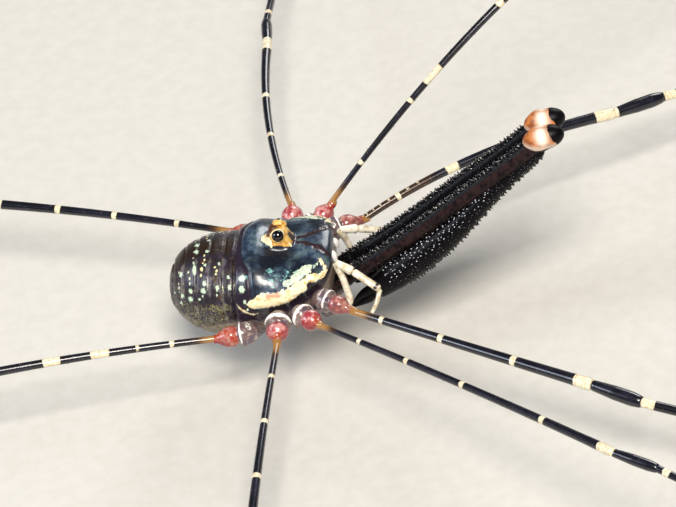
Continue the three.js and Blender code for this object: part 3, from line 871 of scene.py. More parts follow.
def off_line(points, line):
    """How far points of the right side lie outside a marking that runs along the body."""
    places = [on_body(x, degrees) for x, degrees, _ in line]
    halves = [half for _, _, half in line]
    nearest = np.full(points.shape[:-1], 9.0)
    for a, b, half_a, half_b in zip(places, places[1:], halves, halves[1:]):
        way = b - a
        t = np.clip(((points - a) @ way) / (way @ way), 0, 1)
        gap = np.linalg.norm(points - a - t[..., None] * way, axis=-1)
        nearest = np.minimum(nearest, gap - half_a - t * (half_b - half_a))
    return nearest


def spotted(points, spots):
    """A mask of oval spots of the right side, one at their middles."""
    hit = np.zeros(points.shape[:-1])
    for x, degrees, half_length, half_height in spots:
        place = on_body(x, degrees)
        along = (points[..., 0] - place[0]) / half_length
        around = np.linalg.norm((points - place)[..., 1:], axis=-1) / half_height
        hit = np.maximum(hit, np.exp(-0.7 * (along ** 2 + around ** 2)))
    return hit


def trunk_relief(points, from_top, ahead, gaps):
    """How far the skin stands out from the plain body, in millimetres."""
    x = points[..., 0]
    # The waist's furrow, and the abdomen's front end that lies a little deeper behind it.
    relief = -0.1 * bell(ahead, -0.03, 0.05)
    relief -= 0.07 * smoothstep(0.02, -0.05, ahead) * smoothstep(-0.9, -0.1, ahead)
    # The rim of the carapace's dome, and the grooves between tergites.
    dome = x - np.interp(from_top, *zip(*DOME_LINE))
    relief -= 0.035 * bell(dome, -0.03, 0.06) * smoothstep(90, 75, from_top)
    for row in range(1, 7):
        groove = FIRST_ROW - TERGITE * (row + 0.5)
        deep = 0.055 if row == 1 else 0.04
        relief -= deep * bell(ahead, groove, 0.035) * smoothstep(115, 95, from_top)
    # Markings that stand up or lie in.
    for name, height, outside, inside in RAISED:
        relief += height * smoothstep(outside, inside, gaps[name])
    relief -= 0.04 * spotted(mirrored(points), (SCENT_PORE,))
    # The furrow over the carapace's lower edge, and the folds of the flank.
    relief -= 0.09 * bell(from_top, 95, 5) * smoothstep(-1.0, -0.7, x)
    pleat = smoothstep(-1.0, -1.5, x)
    for fold, depth in FLANK_FOLDS:
        relief -= depth * bell(from_top + 4 * clouds(points, 1.2, fold), fold, 3.2) * pleat
    # Unevenness: broad all over, fine on the abdomen, and grainy on the cream stripe.
    relief += 0.012 * clouds(points, 0.5, 1)
    side = smoothstep(40, 80, from_top) * smoothstep(0.2, -0.2, ahead)
    relief += 0.016 * (0.35 + side) * clouds(points, 0.13, 2) * smoothstep(0.05, -0.1, ahead)
    ridge = smoothstep(0.04, -0.04, gaps["cream"])
    relief += 0.025 * ridge * clouds(points, 0.12, 3)
    return relief


def mound_ring(points):
    """Zero in the middle of the eye mound, one at its edge."""
    along = np.abs(points[..., 0] - MOUND["x"]) / MOUND["length"]
    return along ** 3 + (np.abs(points[..., 1]) / MOUND["width"]) ** 3


def mound_rise(points):
    """Height of the eye mound over the back, flat on top and steep at its sides."""
    top = MOUND["height"] - 0.05 * bell(points[..., 1], 0, 0.12)
    return top * np.exp(-mound_ring(points) ** 1.8)


def marking_gaps(points):
    """How far each point lies outside each marking, with a ragged edge."""
    right = mirrored(points)
    wave = 0.05 * clouds(points, 0.2, 4) + 0.03 * clouds(points, 0.07, 5)
    return {name: off_line(right, line) + unrest * wave
            for name, (line, unrest) in MARKINGS.items()}


def trunk_masks(points, from_top, ahead, gaps):
    """Where the markings lie on carapace and abdomen, each from nought to one."""
    x = points[..., 0]
    right = mirrored(points)
    ring = mound_ring(points)
    out = np.abs(points[..., 1])
    inked = {name: smoothstep(0.06, -0.02, gap) for name, gap in gaps.items()}
    dome = x - np.interp(from_top, *zip(*DOME_LINE))
    band = smoothstep(0.05, -0.05, dome) * smoothstep(-0.05, 0.02, ahead)
    under_stripe = smoothstep(84, 90, from_top) * smoothstep(-1.1, -0.8, x)
    rear_of_mound = (smoothstep(0.2, -0.1, x) * smoothstep(1.1, 0.6, ring)
                     * smoothstep(0.36, 0.2, out))
    back = bell(points[..., 1], 0, 0.5) * smoothstep(0.0, -0.3, ahead)
    low = 0.55 * bell(from_top, 76, 9) * bell(x, -2.05, 0.75) * smoothstep(0.0, -0.15, ahead)
    low = np.maximum(low, 0.4 * smoothstep(62, 75, from_top) * smoothstep(-0.2, -0.5, ahead))
    phase = (ahead - FIRST_ROW) / TERGITE * 2 * math.pi
    bars = (0.5 - 0.5 * np.cos(phase + 0.9 * clouds(points, 0.4, 8))) ** 2
    bars *= 0.25 + 0.65 * smoothstep(-0.4, 0.6, clouds(points, 0.5, 9))
    flecks = 0.42 * bell(np.cos(phase), -0.1, 0.35)
    flecks = flecks * smoothstep(0.0, 0.5, clouds(points, 0.25, 10))
    flecks *= smoothstep(10, 25, from_top) * smoothstep(-0.1, -0.3, ahead)
    haze = 0.3 * bell(from_top, 46, 16) * bell(x, 0.1, 0.9)
    return {
        "cream": np.maximum.reduce([inked["cream"], inked["edge"], 0.55 * inked["margin"],
                                    0.9 * spotted(right, MOUND_SPOTS)]),
        "pink": inked["pink"],
        "teal": np.maximum(haze, spotted(right, TEAL_SPOTS)),
        "ridge": smoothstep(0.08, -0.06, gaps["teal"]),
        "gold": smoothstep(1.8, 1.2, ring) * smoothstep(0.46, 0.38, out),
        "yellow": np.maximum(spotted(right, YELLOW_SPOTS), flecks),
        "brown": np.maximum(inked["brown"], back),
        "rust": rear_of_mound,
        "spot": spotted(right, PALE_SPOTS),
        "olive": low,
        "bar": bars * smoothstep(-0.05, -0.2, ahead) * smoothstep(8, 22, from_top),
        "band": np.maximum(band, 0.8 * under_stripe),
        "pore": spotted(right, (SCENT_PORE,)),
        "under": smoothstep(92, 108, from_top),
    }


# Masks of the trunk's one mesh: those of carapace and abdomen, then those of the hips.
TRUNK_MASKS = (
    "cream", "pink", "teal", "ridge", "gold", "yellow", "brown", "rust", "spot", "olive", "bar",
    "band", "pore", "under", "red", "deep", "warm", "pale", "tan",
)


def add_body(shape):
    """The carapace and abdomen as one closed surface, parted only in its finish."""
    rows, sides = 270, 250
    share = -np.cos(np.linspace(0, math.pi, rows + 1)[1:-1])
    turn = np.linspace(0, 2 * math.pi, sides, endpoint=False)
    grid = body_points(share[:, None], turn[None, :], BODY["inset"])
    wrapped = np.concatenate([grid[:, -1:], grid, grid[:, :1]], 1)
    slope = np.gradient(wrapped, axis=1)[:, 1:-1]
    outward = unit(np.cross(slope, np.gradient(grid, axis=0)))
    well_inside = (-1.09, 0, 3.1)
    outward *= np.sign((outward * (grid - well_inside)).sum(-1, keepdims=True))
    from_top = np.abs((np.degrees(turn) - 90 + 180) % 360 - 180)[None, :] + 0 * grid[..., 0]
    ahead = ahead_of_waist(grid, from_top)
    gaps = marking_gaps(grid)
    masks = trunk_masks(grid, from_top, ahead, gaps)
    skin = grid + outward * trunk_relief(grid, from_top, ahead, gaps)[..., None]
    skin[..., 2] += mound_rise(grid) * smoothstep(70, 40, from_top)
    ends = body_points(np.array([-1.0, 1.0]), np.array([0.0, 0.0]), BODY["inset"])
    points = np.vstack([skin.reshape(-1, 3), ends])
    spread = {name: np.concatenate([values.reshape(-1), values[:1, 0], values[-1:, 0]])
              for name, values in masks.items()}
    faces = tube_faces(len(share), sides)
    corners = np.array([face + (face[0],) * (4 - len(face)) for face in faces])
    ahead_all = np.concatenate([ahead.reshape(-1), [-1.0, 1.0]])
    slots = [0 if value > 0 else 1 for value in ahead_all[corners].mean(1)]
    shape.add(points, faces, slots, **spread)


def eye_axis(side):
    return unit(np.array([0.12, side * 0.86, 0.42]))


def add_eye_collar(shape, side):
    """The raised socket rim round one eye, thin at its edge and sunk into the mound."""
    axis = eye_axis(side)
    centre = mirror(EYE, side)
    first = unit(np.cross(axis, (0, 0, 1)))
    second = np.cross(first, axis)
    radius = sizes().eye_radius / MM
    # Distance from the axis and along it, in eye radii, and how pale the lip is there.
    profile = ((0.9, -0.35, 0.2), (0.96, 0.12, 0.7), (1.03, 0.3, 1), (1.12, 0.3, 0.9),
               (1.2, 0.12, 0.3), (1.24, -0.2, 0), (1.15, -0.6, 0), (0.95, -0.7, 0))
    sides = 48
    turn = np.linspace(0, 2 * math.pi, sides, endpoint=False)
    wave = 1 + 0.04 * np.sin(3 * turn + 1) + 0.02 * np.sin(7 * turn)
    around = np.cos(turn)[:, None] * first + np.sin(turn)[:, None] * second
    points = np.vstack([centre + radius * (out * wave[:, None] * around + lift * axis)
                        for out, lift, _ in profile])
    faces = []
    for row in range(len(profile)):
        faces += ring_faces(row * sides, (row + 1) % len(profile) * sides, sides)
    lip = np.repeat([pale for _, _, pale in profile], sides)
    above = smoothstep(4.85, 5.0, points[:, 2])
    shape.add(points, faces, 0, cream=0.8 * lip * above, gold=1)


def heading_step(pair, side):
    """A unit step from a heading and a climb in degrees, mirrored for the right side."""
    heading, climb = np.radians(pair)
    level = math.cos(climb)
    return np.array([level * math.cos(heading), side * level * math.sin(heading), math.sin(climb)])


def hip_line(leg, number, side):
    """The middle of a hip from inside the belly to the femur, and where its ball sits on it."""
    coxa, trochanter, _ = LEG_PAIRS[number - 1]
    hip = HIPS[number - 1]
    out = heading_step(STANCES[leg][0], side)
    ball = mirror(trochanter, side) + mirror(hip["shift"], side)
    cup = ball - out * hip["cup"] + (0, 0, 0.02)
    if leg == LOW_HIP["leg"]:
        ball[2] -= LOW_HIP["ball"]
        cup[2] -= LOW_HIP["cup"]
    belly = mirror(coxa, side) + (0, side * 0.35, 0.45)
    femur = mirror(trochanter, side) + out * 0.75
    path = smooth_path([belly, (belly + 2 * cup) / 3, cup, ball, ball + (femur - ball) * 0.55,
                        femur])
    nearest = np.argmin(np.linalg.norm(path - ball, axis=1))
    return path, distances(path)[nearest]


def add_hip(shape, leg, number, side):
    """Coxa and trochanter of one leg: a flared cup with a white rim and a painted highlight on top,
    and a ball in it.
    """
    path, ball = hip_line(leg, number, side)
    whole = distances(path)[-1]
    hip = HIPS[number - 1]
    size, reach = hip["size"], hip["reach"]
    # Distances from the ball's middle and radii, of the cup and then of the ball and its neck.
    form = (
        (-0.75, 0.35), (-0.42, 0.385), (-0.3, 0.415 * size), (-0.26, 0.41 * size), (-0.23, 0.35),
        (-0.2, 0.26), (-0.15, 0.27 * size), (-0.08, 0.32 * size), (0.04, 0.345 * size),
        (0.18 * reach, 0.315 * size), (0.3 * reach, 0.23 * size), (0.37 * reach, 0.16),
        (0.42 * reach, 0.14), (0.5 * reach, 0.15))
    stops = [(0, 0.3), *((ball + at, radius) for at, radius in form),
             (whole - 0.1, 0.125), (whole, 0.12)]
    shares = [(min(max(at / whole, 0), 1), radius) for at, radius in stops]

    def marks(along, turn, points):
        place = poles(along - ball, len(turn))
        high = np.concatenate([np.tile(0.5 + 0.5 * np.cos(turn), len(along)), [0, 0]])
        rim = bell(place, -0.275, 0.028) * smoothstep(0.15, 0.7, high)
        # A pale painted highlight on top of the cup, in the rim's white.
        sheen = 0.5 * bell(place, -0.42, 0.08) * smoothstep(0.6, 0.95, high)
        red = smoothstep(-0.22, -0.14, place)
        return {
            "red": red * hip["red"],
            # Darker crimson on the underside of the trochanter's far end: painted shade.
            "deep": smoothstep(0.0, 0.3 * reach, place) * smoothstep(0.95, 0.4, high),
            "warm": red * hip["orange"] + smoothstep(0.26, 0.38, place / reach),
            "pale": np.maximum(rim, sheen),
            "tan": smoothstep(0.44 * reach, 0.62 * reach, place),
        }

    article(shape, path, shares, 32, 0.034, 0.1, slot=2, marks=marks)


def add_mouth_parts(shape):
    """Lobes of the mouth below the front edge, and the genital plate under the belly."""
    for side in (-1, 1):
        lobe = smooth_path(mirror([(0.9, 0.45, 1.75), (1.35, 0.4, 1.95), (1.6, 0.28, 2.2)], side))
        article(shape, lobe, [(0, 0.2), (0.5, 0.24), (1, 0.16)], 20, 0.04, 0.12, slot=2)
    plate = smooth_path([(-1.6, 0, 1.48), (-0.7, 0, 1.45), (0.4, 0, 1.64)])
    article(shape, plate, [(0, 0.3), (0.5, 0.26), (1, 0.2)], 28, 0.05, 0.25, slot=2, squash=1.9)


def add_front_plates(shape):
    """The pale plates that close the front of the carapace over the chelicerae."""
    for side in (-1, 1):
        path = mirror([(1.55, 0.27, 4.03), (1.68, 0.33, 3.98), (1.73, 0.37, 3.7)], side)
        article(shape, smooth_path(path), [(0, 0.09), (0.5, 0.125), (1, 0.09)], 18, 0.03, 0.07,
                slot=2, reference=(0, 1, 0), squash=0.8,
                marks=lambda along, turn, points: {"pale": np.full(len(points), 0.9)})


class BuildTrunk(bpy.types.Operator):
    """Builds the skin of carapace, abdomen and hips"""
    bl_idname = "harvestman.trunk"
    bl_label = "Trunk skin"

    def execute(self, context):
        shape = Shape(*TRUNK_MASKS)
        add_body(shape)
        for name, side in SIDES:
            add_eye_collar(shape, side)
            for number in LEG_NUMBERS:
                add_hip(shape, f"leg_{number}_{name}", number, side)
        add_mouth_parts(shape)
        add_front_plates(shape)
        piece = shape.build("trunk_skin", carapace_material(), abdomen_material(), hip_material())
        hips = [f"leg_{n}_{name}_hip" for n in LEG_NUMBERS for name, _ in SIDES]
        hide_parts("carapace", "abdomen", *hips)
        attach(piece, "root")
        return {"FINISHED"}


class BuildEyes(bpy.types.Operator):
    """Builds the two glossy eyes on the sides of the eye mound"""
    bl_idname = "harvestman.eyes"
    bl_label = "Eyes"

    def execute(self, context):
        material = eye_material()
        radius = sizes().eye_radius / MM
        share = np.linspace(-1, 1, 34)
        bulge = np.where(share > 0, 1.04, 1.0)
        radii = radius * np.sqrt(np.maximum(1 - share ** 2, 1e-4)) * bulge
        for name, side in SIDES:
            path = mirror(EYE, side) + eye_axis(side) * radius * share[:, None]
            shape = Shape()
            points, faces, _ = tube(path, radii, 40)
            shape.add(points, faces)
            piece = shape.build(f"eye_{name}_cornea", material)
            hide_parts(f"eye_{name}")
            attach(piece, "root")
        return {"FINISHED"}


def spine_form(sides=6):
    """A blunt-tipped spine of height one and foot radius one, standing on z = 0."""
    levels = ((1.15, -0.4), (0.85, 0.1), (0.58, 0.5), (0.3, 0.86))
    turn = np.linspace(0, 2 * math.pi, sides, endpoint=False)
    points = [(r * math.cos(t), r * math.sin(t), z) for r, z in levels for t in turn]
    points.append((0, 0, 1.0))
    faces = []
    for row in range(len(levels) - 1):
        faces += ring_faces(row * sides, (row + 1) * sides, sides)
    top = (len(levels) - 1) * sides
    faces += [(top + k, top + (k + 1) % sides, len(points) - 1) for k in range(sides)]
    return np.array(points), faces


def add_spines(shape, spines, stretch=1.0, worn=0.0):
    """Sets spines on a surface, with tips painted pale as glints of light by the given share. Each
    has its foot, its direction, height and radius, and the direction that it is stretched along."""
    points, faces = spine_form()
    tip = np.clip((points[:, 2] - 0.4) / 0.4, 0, 1)
    for foot, up, height, radius, axis in spines:
        first = unit(np.cross(up, axis))
        second = np.cross(up, first)
        body = (points[:, :1] * first + stretch * points[:, 1:2] * second) * radius
        shape.add(foot + body + points[:, 2:] * up * height, faces, 1, worn=worn * tip)


def add_spine_rows(shape, path, radii, side, rows, draw):
    """Rows of spines along an arm or hand, with uneven places, heights and leans."""
    tall = sizes().denticle_height / MM
    apart = sizes().denticle_spacing / MM
    line, along = resample(path, 0.04)
    forward, across, up = tube_frame(line, (0, 0, 1))
    outer = across * np.sign(across[:, 1:2] * side)
    wide = np.interp(along / along[-1], np.linspace(0, 1, len(radii)), radii)
    for turns, (begin, end), gap, high, stretch, worn in rows:
        spacing, height = apart * gap, tall * high
        spines = []
        for row, angle in enumerate(turns):
            at = begin * along[-1] + (row % 2) * spacing / 2
            while at < end * along[-1]:
                place = at + draw.uniform(-0.3, 0.3) * spacing
                at += spacing * draw.uniform(0.8, 1.25)
                if draw.random() < 0.12:
                    continue
                k = min(int(np.searchsorted(along, place)), len(along) - 1)
                turned = math.radians(angle + draw.uniform(-6, 6))
                way = math.cos(turned) * up[k] + math.sin(turned) * outer[k]
                leaning = unit(way - 0.2 * forward[k] * draw.uniform(0.0, 1.5))
                grown = height * draw.uniform(0.6, 1.15)
                thick = height * draw.uniform(0.42, 0.58) / stretch ** 0.3
                axis = forward[k] + 0.5 * draw.uniform(-1, 1) * up[k]
                spines.append((line[k] + way * wide[k] * 0.98, leaning, grown, thick, axis))
        add_spines(shape, spines, stretch, worn)


# The last mask paints pale glints of light on the spines' tips.
CHELICERA_MASKS = ("brown", "orange", "white", "worn")


def side_line(points, side, spread, extra):
    """A side-view line set out sideways, by extra more at its far end."""
    rows = np.asarray(points, float)
    out = spread + extra * np.linspace(0, 1, len(rows))
    return smooth_path(np.stack([rows[:, 0], side * out, rows[:, 1]], 1))


def even_stops(radii):
    """Radii at even shares of a piece's length."""
    return list(zip(np.linspace(0, 1, len(radii)), radii))


class BuildChelicerae(bpy.types.Operator):
    """Builds the two long spiny chelicerae, each an arm, a hand and two fingers"""
    bl_idname = "harvestman.chelicerae"
    bl_label = "Chelicerae"

    def execute(self, context):
        finishes = (chelicera_material(), denticle_material())
        for name, side in SIDES:
            draw = random.Random(20 + side)
            arm = Shape(*CHELICERA_MASKS)
            line = side_line(ARM_LINE, side, CHELICERA_SPREAD, 0)

            def arm_marks(along, turn, points, side=side):
                outer = (points[:, 1] - side * CHELICERA_SPREAD) * side
                return {"brown": 0.9 * smoothstep(0.17, 0.24, outer)}

            article(arm, line, even_stops(ARM_RADII), 24, 0.06, 0.2, marks=arm_marks)
            self.add_knee(arm, side)
            add_spine_rows(arm, line, ARM_RADII, side, ARM_SPINES, draw)
            self.finish(arm, name, "arm", finishes)

            hand = Shape(*CHELICERA_MASKS)
            palm = side_line(HAND_LINE, side, CHELICERA_SPREAD, HAND_SPREAD)
            article(hand, palm, even_stops(HAND_RADII), 28, 0.06, 0.25)
            add_spine_rows(hand, palm, HAND_RADII, side, HAND_SPINES, draw)
            self.finish(hand, name, "hand", finishes)
            self.add_fingers(name, palm, finishes)
        return {"FINISHED"}

    def finish(self, shape, name, part, finishes):
        piece = shape.build(f"chelicera_{name}_{part}_skin", *finishes)
        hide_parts(f"chelicera_{name}_{part}")
        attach(piece, "root")

    def add_knee(self, shape, side):
        """The swollen joint at the end of the arm, with its orange patch, a white painted highlight
        on its upper sides and pale cream underneath.
        """
        rise = unit(np.array([1.0, 0, 0.22]))
        centre = np.array([KNEE["centre"][0], side * CHELICERA_SPREAD, KNEE["centre"][1]])
        share = np.sin(np.linspace(-0.5, 0.5, 48) * math.pi)
        path = centre + rise * KNEE["length"] * share[:, None]
        swell = 1 + 0.07 * bell(share, -0.3, 0.3) - 0.05 * bell(share, 0.15, 0.2)
        radii = KNEE["height"] * np.sqrt(np.maximum(1 - share ** 2, 1e-4)) * swell
        points, faces, turn = tube(path, radii, 48, squash=KNEE["width"] / KNEE["height"])
        away = unit(points - centre)
        far = poles(share, len(turn))
        ragged_edge = far + 0.12 * away[:, 2] + 0.1 * clouds(points, 0.25, 30)
        patch = smoothstep(0.66, 0.4, ragged_edge) * smoothstep(-0.65, -0.35, away[:, 2])
        # White: a painted highlight where the knee faces up and outwards, and pale cream on its
        # underside.
        facing = np.abs(away[:, 1]) * 0.75 + away[:, 2] * 0.65
        white = bell(far, 0.05, 0.3) * smoothstep(0.45, 0.95, facing)
        white = np.maximum(white, 0.65 * smoothstep(0.15, -0.3, away[:, 2]))
        shape.add(points, faces, 0, orange=patch, white=white)

    def add_fingers(self, name, palm, finishes):
        """The fixed and the moving finger, with small teeth where they meet."""
        forward, _, up = (ways[-1] for ways in tube_frame(palm[-3:], (0, 0, 1)))
        end = palm[-1]
        for finger, way in (("fixed", 1), ("moving", -1)):
            shape = Shape(*CHELICERA_MASKS)
            offset = way * FINGER["spacing"] / 2
            root = end - forward * 0.15 + up * offset
            middle = end + forward * 0.45 + up * offset * 1.2
            tip = end + forward * (FINGER["length"] + 0.1) + up * offset * 0.3
            path = smooth_path([root, middle, tip])
            stops = [(0, FINGER["root"] * 1.15), (0.4, FINGER["root"]), (0.8, 0.07),
                     (1, FINGER["tip"])]
            article(shape, path, stops, 18, 0.03, 0.05)
            feet = [p - up * way * 0.08 for p in resample(path, 0.11)[0][2:-1]]
            heights = np.linspace(0.07, 0.04, len(feet))
            add_spines(shape, [(foot, -up * way, height, height * 0.45, forward)
                               for foot, height in zip(feet, heights)])
            self.finish(shape, name, f"finger_{finger}", finishes)


def palp_articles(side):
    """Names, centre lines and thickness of a pedipalp's pieces, from the root to the tip."""
    p = {key: mirror(value, side) for key, value in PALP_POINTS.items()}
    lines = {
        "femur": (p["root"], p["corner"], p["shoulder"], p["elbow"]),
        "patella": (p["elbow"], p["patella_end"]),
        "tibia": (p["patella_end"], p["wrist"]),
        "tarsus": (p["wrist"], (p["wrist"] + p["tip"]) / 2 + (0.06, 0, 0), p["tip"]),
    }
    return [(part, smooth_path(points), PALP_FORMS[part]) for part, points in lines.items()]


def palp_marks(part):
    """Tan joints for a piece of a pedipalp, and the dark mark near the end of the tibia."""
    def marks(along, turn, points):
        share = poles(along / along[-1], len(turn))
        joint = np.maximum(smoothstep(0.08, 0.02, share), smoothstep(0.94, 0.99, share))
        upper_side = smoothstep(3.31, 3.36, points[:, 2])
        mark = bell(share, 0.86, 0.06) * upper_side
        return {"dark": mark if part == "tibia" else 0, "tan": 0.45 * joint}

    return marks


class BuildPalps(bpy.types.Operator):
    """Builds the two cream pedipalps"""
    bl_idname = "harvestman.palps"
    bl_label = "Pedipalps"

    def execute(self, context):
        material = palp_material()
        for name, side in SIDES:
            shape = Shape("dark", "tan")
            for part, path, stops in palp_articles(side):
                article(shape, path, stops, 22, 0.04, 0.05, reference=SIDEWAYS,
                        marks=palp_marks(part))
            piece = shape.build(f"pedipalp_{name}_skin", material)
            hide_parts(*(f"pedipalp_{name}_{part}" for part in ("femur", "tibia", "tarsus")))
            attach(piece, "root")
        return {"FINISHED"}


def lengthened(start, end):
    """A straight line drawn a little past both joints, so that the pieces join."""
    way = unit(end - start) * OVERLAP
    return np.array([start - way, end + way])


def leg_articles(leg, number, side):
    """Names, centre lines and thickness of a leg's pieces from femur to tarsus."""
    _, trochanter, lengths = LEG_PAIRS[number - 1]
    femur_way, patella_way, tibia_way, metatarsus_way, tarsus_ways, bow = STANCES[leg]
    femur, patella, tibia, metatarsus, tarsus = lengths
    out = heading_step(femur_way, side)
    root = mirror(trochanter, side) + out * FEMUR_START
    knee = mirror(trochanter, side) + out * femur
    control = (root + knee) / 2 + 2 * np.array([bow[1], 0, bow[0]])
    t = np.linspace(0, 1, 60)[:, None]
    inner = root - out * FEMUR_INSET
    femur_line = (1 - t) ** 2 * inner + 2 * t * (1 - t) * control + t ** 2 * knee
    shin = knee + heading_step(patella_way, side) * patella
    ankle = shin + heading_step(tibia_way, side) * tibia
    drop = math.degrees(math.asin((FOOT_HEIGHT - ankle[2]) / metatarsus))
    heel = ankle + heading_step((metatarsus_way, drop), side) * metatarsus
    points = [heel]
    first, last = tarsus_ways
    for bend in range(TARSUS_BENDS):
        heading = first + (last - first) * (bend + 0.5) / TARSUS_BENDS
        points.append(points[-1] + heading_step((heading, 0), side) * (tarsus / TARSUS_BENDS))
    tarsus_line = smooth_path(points)
    heights = (FOOT_HEIGHT, 0.07, 0.045)
    tarsus_line[:, 2] = np.interp(distances(tarsus_line), (0, 1.5, tarsus), heights)
    lines = {
        "femur": femur_line,
        "patella": lengthened(knee, shin),
        "tibia": lengthened(shin, ankle),
        "metatarsus": lengthened(ankle, heel),
    }
    thick = FEMUR_RADII[number - 1]
    forms = {part: [(share, thick * radius) for share, radius in LEG_FORMS[part]] for part in lines}
    forms["metatarsus"] += METATARSUS_END
    return [*((part, line, forms[part]) for part, line in lines.items()),
            ("tarsus", tarsus_line, TARSUS_FORM)]


def leg_bands(leg, start):
    """Marks for a leg piece that starts at a distance from the femur's root."""
    bands = list(BANDS[leg])
    farthest = bands[-1][0]
    bands += [(farthest + FAR_BAND_PITCH * k, 0.1) for k in range(1, 16)]

    def marks(along, turn, points):
        place = poles(along + start, len(turn))
        high = np.concatenate([np.tile(0.5 + 0.5 * np.cos(turn), len(along)), [1, 1]])
        pale = np.zeros(len(place))
        for centre, half in bands:
            edge = np.abs(place - centre)
            pale = np.maximum(pale, smoothstep(half + 0.09, half - 0.05, edge))
        tan = smoothstep(1.1, 0.1, place)
        if leg == STREAKED_LEG:
            uneven = 2 * np.sin(place * 2)
            dashes = 0.5 + 0.5 * np.sin(place / DASH_PITCH * 2 * math.pi + uneven)
            pale = np.maximum(pale, 0.6 * dashes * smoothstep(2.6, 2.0, place) * high ** 2)
            tan = np.maximum(0.5 * tan, 0.42 * smoothstep(2.9, 2.2, place))
        # The pale marks are painted brighter on their upper side, a painted highlight.
        return {"pale": pale * (0.62 + 0.38 * high), "tan": tan}

    return marks


def segmented(stops, whole, pitch, depth):
    """Radius stops with the small waists of a many-jointed tarsus."""
    count = int(whole / pitch)
    shares = np.linspace(0, 1, count * 4 + 1)
    plain = np.interp(shares, *np.array(stops, float).T)
    waists = 1 - depth * (np.arange(len(shares)) % 4 == 0)
    return list(zip(shares, plain * waists))


class BuildLegs(bpy.types.Operator):
    """Builds the eight long legs from femur to tarsus"""
    bl_idname = "harvestman.legs"
    bl_label = "Legs"

    def execute(self, context):
        material = leg_material()
        for side_name, side in SIDES:
            for number in LEG_NUMBERS:
                name = f"leg_{number}_{side_name}"
                shape = Shape("pale", "tan")
                start = -FEMUR_INSET
                for part, path, stops in leg_articles(name, number, side):
                    whole = distances(path)[-1]
                    if part == "tarsus":
                        stops = segmented(stops, whole, TARSOMERE, 0.22)
                    article(shape, path, stops, 16, 0.085, 0.06, marks=leg_bands(name, start))
                    start += whole
                piece = shape.build(f"{name}_skin", material)
                parts = ("femur", "tibia", "metatarsus", "tarsus")
                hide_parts(*(f"{name}_{part}" for part in parts))
                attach(piece, "root")
        return {"FINISHED"}


class BuildClaws(bpy.types.Operator):
    """Builds the small claw at the end of each leg and pedipalp"""
    bl_idname = "harvestman.claws"
    bl_label = "Claws"

    def execute(self, context):
        shape = Shape()
        for name, side in SIDES:
            feet = [leg_articles(f"leg_{n}_{name}", n, side)[-1] for n in LEG_NUMBERS]
            for _, line, _ in feet:
                self.add_claw(shape, line, 0.03, -0.15, (0.1, 0.2, 1))
            self.add_claw(shape, palp_articles(side)[-1][1], 0.035, -1.0, SIDEWAYS)
        piece = shape.build("claws", claw_material())
        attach(piece, "root")
        return {"FINISHED"}

    def add_claw(self, shape, line, thick, fall, reference):
        """A claw that carries on a limb's end and falls away towards its point."""
        reach = 0.12
        end = line[-1]
        ahead = unit(line[-1] - line[-3])
        down = np.array([0, 0, fall])
        path = smooth_path([end - ahead * 0.05, end + ahead * reach * 0.5,
                            end + ahead * reach * 0.8 + down * reach * 0.4])
        article(shape, path, [(0, thick), (0.5, thick * 0.7), (1, 0.006)], 10, 0.02, 0.02,
                reference=reference)


def add_hairs(shape, path, stops, step, spacing, hair, draw, reference=(0, 0, 1)):
    """Short hairs round a limb, leaning to its tip, each a thin three-sided spike."""
    line, along = resample(np.asarray(path), step)
    radii = radii_along(stops, along)
    forward, across, up = tube_frame(line, reference)
    at = spacing
    while at < along[-1] - spacing:
        k = min(int(np.searchsorted(along, at)), len(along) - 1)
        turned = draw.uniform(0, 2 * math.pi)
        way = math.cos(turned) * up[k] + math.sin(turned) * across[k]
        foot = line[k] + way * radii[k] * 0.9
        if foot[2] > 0.04:
            growing = unit(way + 0.9 * draw.uniform(0.6, 1.4) * forward[k])
            tip = foot + growing * hair * draw.uniform(0.6, 1.2)
            tip[2] = max(tip[2], 0.01)
            side = unit(np.cross(growing, way)) * 0.009
            back = unit(np.cross(side, growing)) * 0.009
            points = [foot + side, foot - side * 0.5 + back, foot - side * 0.5 - back, tip]
            shape.add(points, [(0, 1, 3), (1, 2, 3), (2, 0, 3), (2, 1, 0)], tip=[0, 0, 0, 1])
        at += spacing * draw.uniform(0.5, 1.5)


class BuildHairs(bpy.types.Operator):
    """Builds the fine hairs of the legs and pedipalps as solid spikes"""
    bl_idname = "harvestman.hairs"
    bl_label = "Fine hairs"

    def execute(self, context):
        draw = random.Random(41)
        hair = sizes().hair_length / MM
        shape = Shape("tip")
        for side_name, side in SIDES:
            for number in LEG_NUMBERS:
                for part, path, stops in leg_articles(f"leg_{number}_{side_name}", number, side):
                    fine = part in ("metatarsus", "tarsus")
                    spacing, share = (0.07, 0.8) if fine else (0.16, 0.55)
                    add_hairs(shape, path, stops, 0.1, spacing, hair * share, draw)
            for _, path, stops in palp_articles(side):
                add_hairs(shape, path, stops, 0.05, 0.05, hair * 0.7, draw, SIDEWAYS)
        piece = shape.build("fine_hairs", hair_material())
        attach(piece, "root")
        return {"FINISHED"}


def at_place(point):
    """A point of the animal's frame, given in mm, as a place in the model."""
    return Vector((np.array(point) + ORIGIN) * MM)


def view_axes():
    """The camera's right, up and backward directions."""
    elevation, azimuth, roll = (math.radians(CAMERA[k]) for k in ("elevation", "azimuth", "roll"))
    level = math.cos(elevation)
    back = Vector((level * math.cos(azimuth), level * math.sin(azimuth), math.sin(elevation)))
    up = (Vector((0, 0, 1)) - back.z * back).normalized()
    right = up.cross(back)
    turned_right = math.cos(roll) * right - math.sin(roll) * up
    turned_up = math.sin(roll) * right + math.cos(roll) * up
    return turned_right, turned_up, back


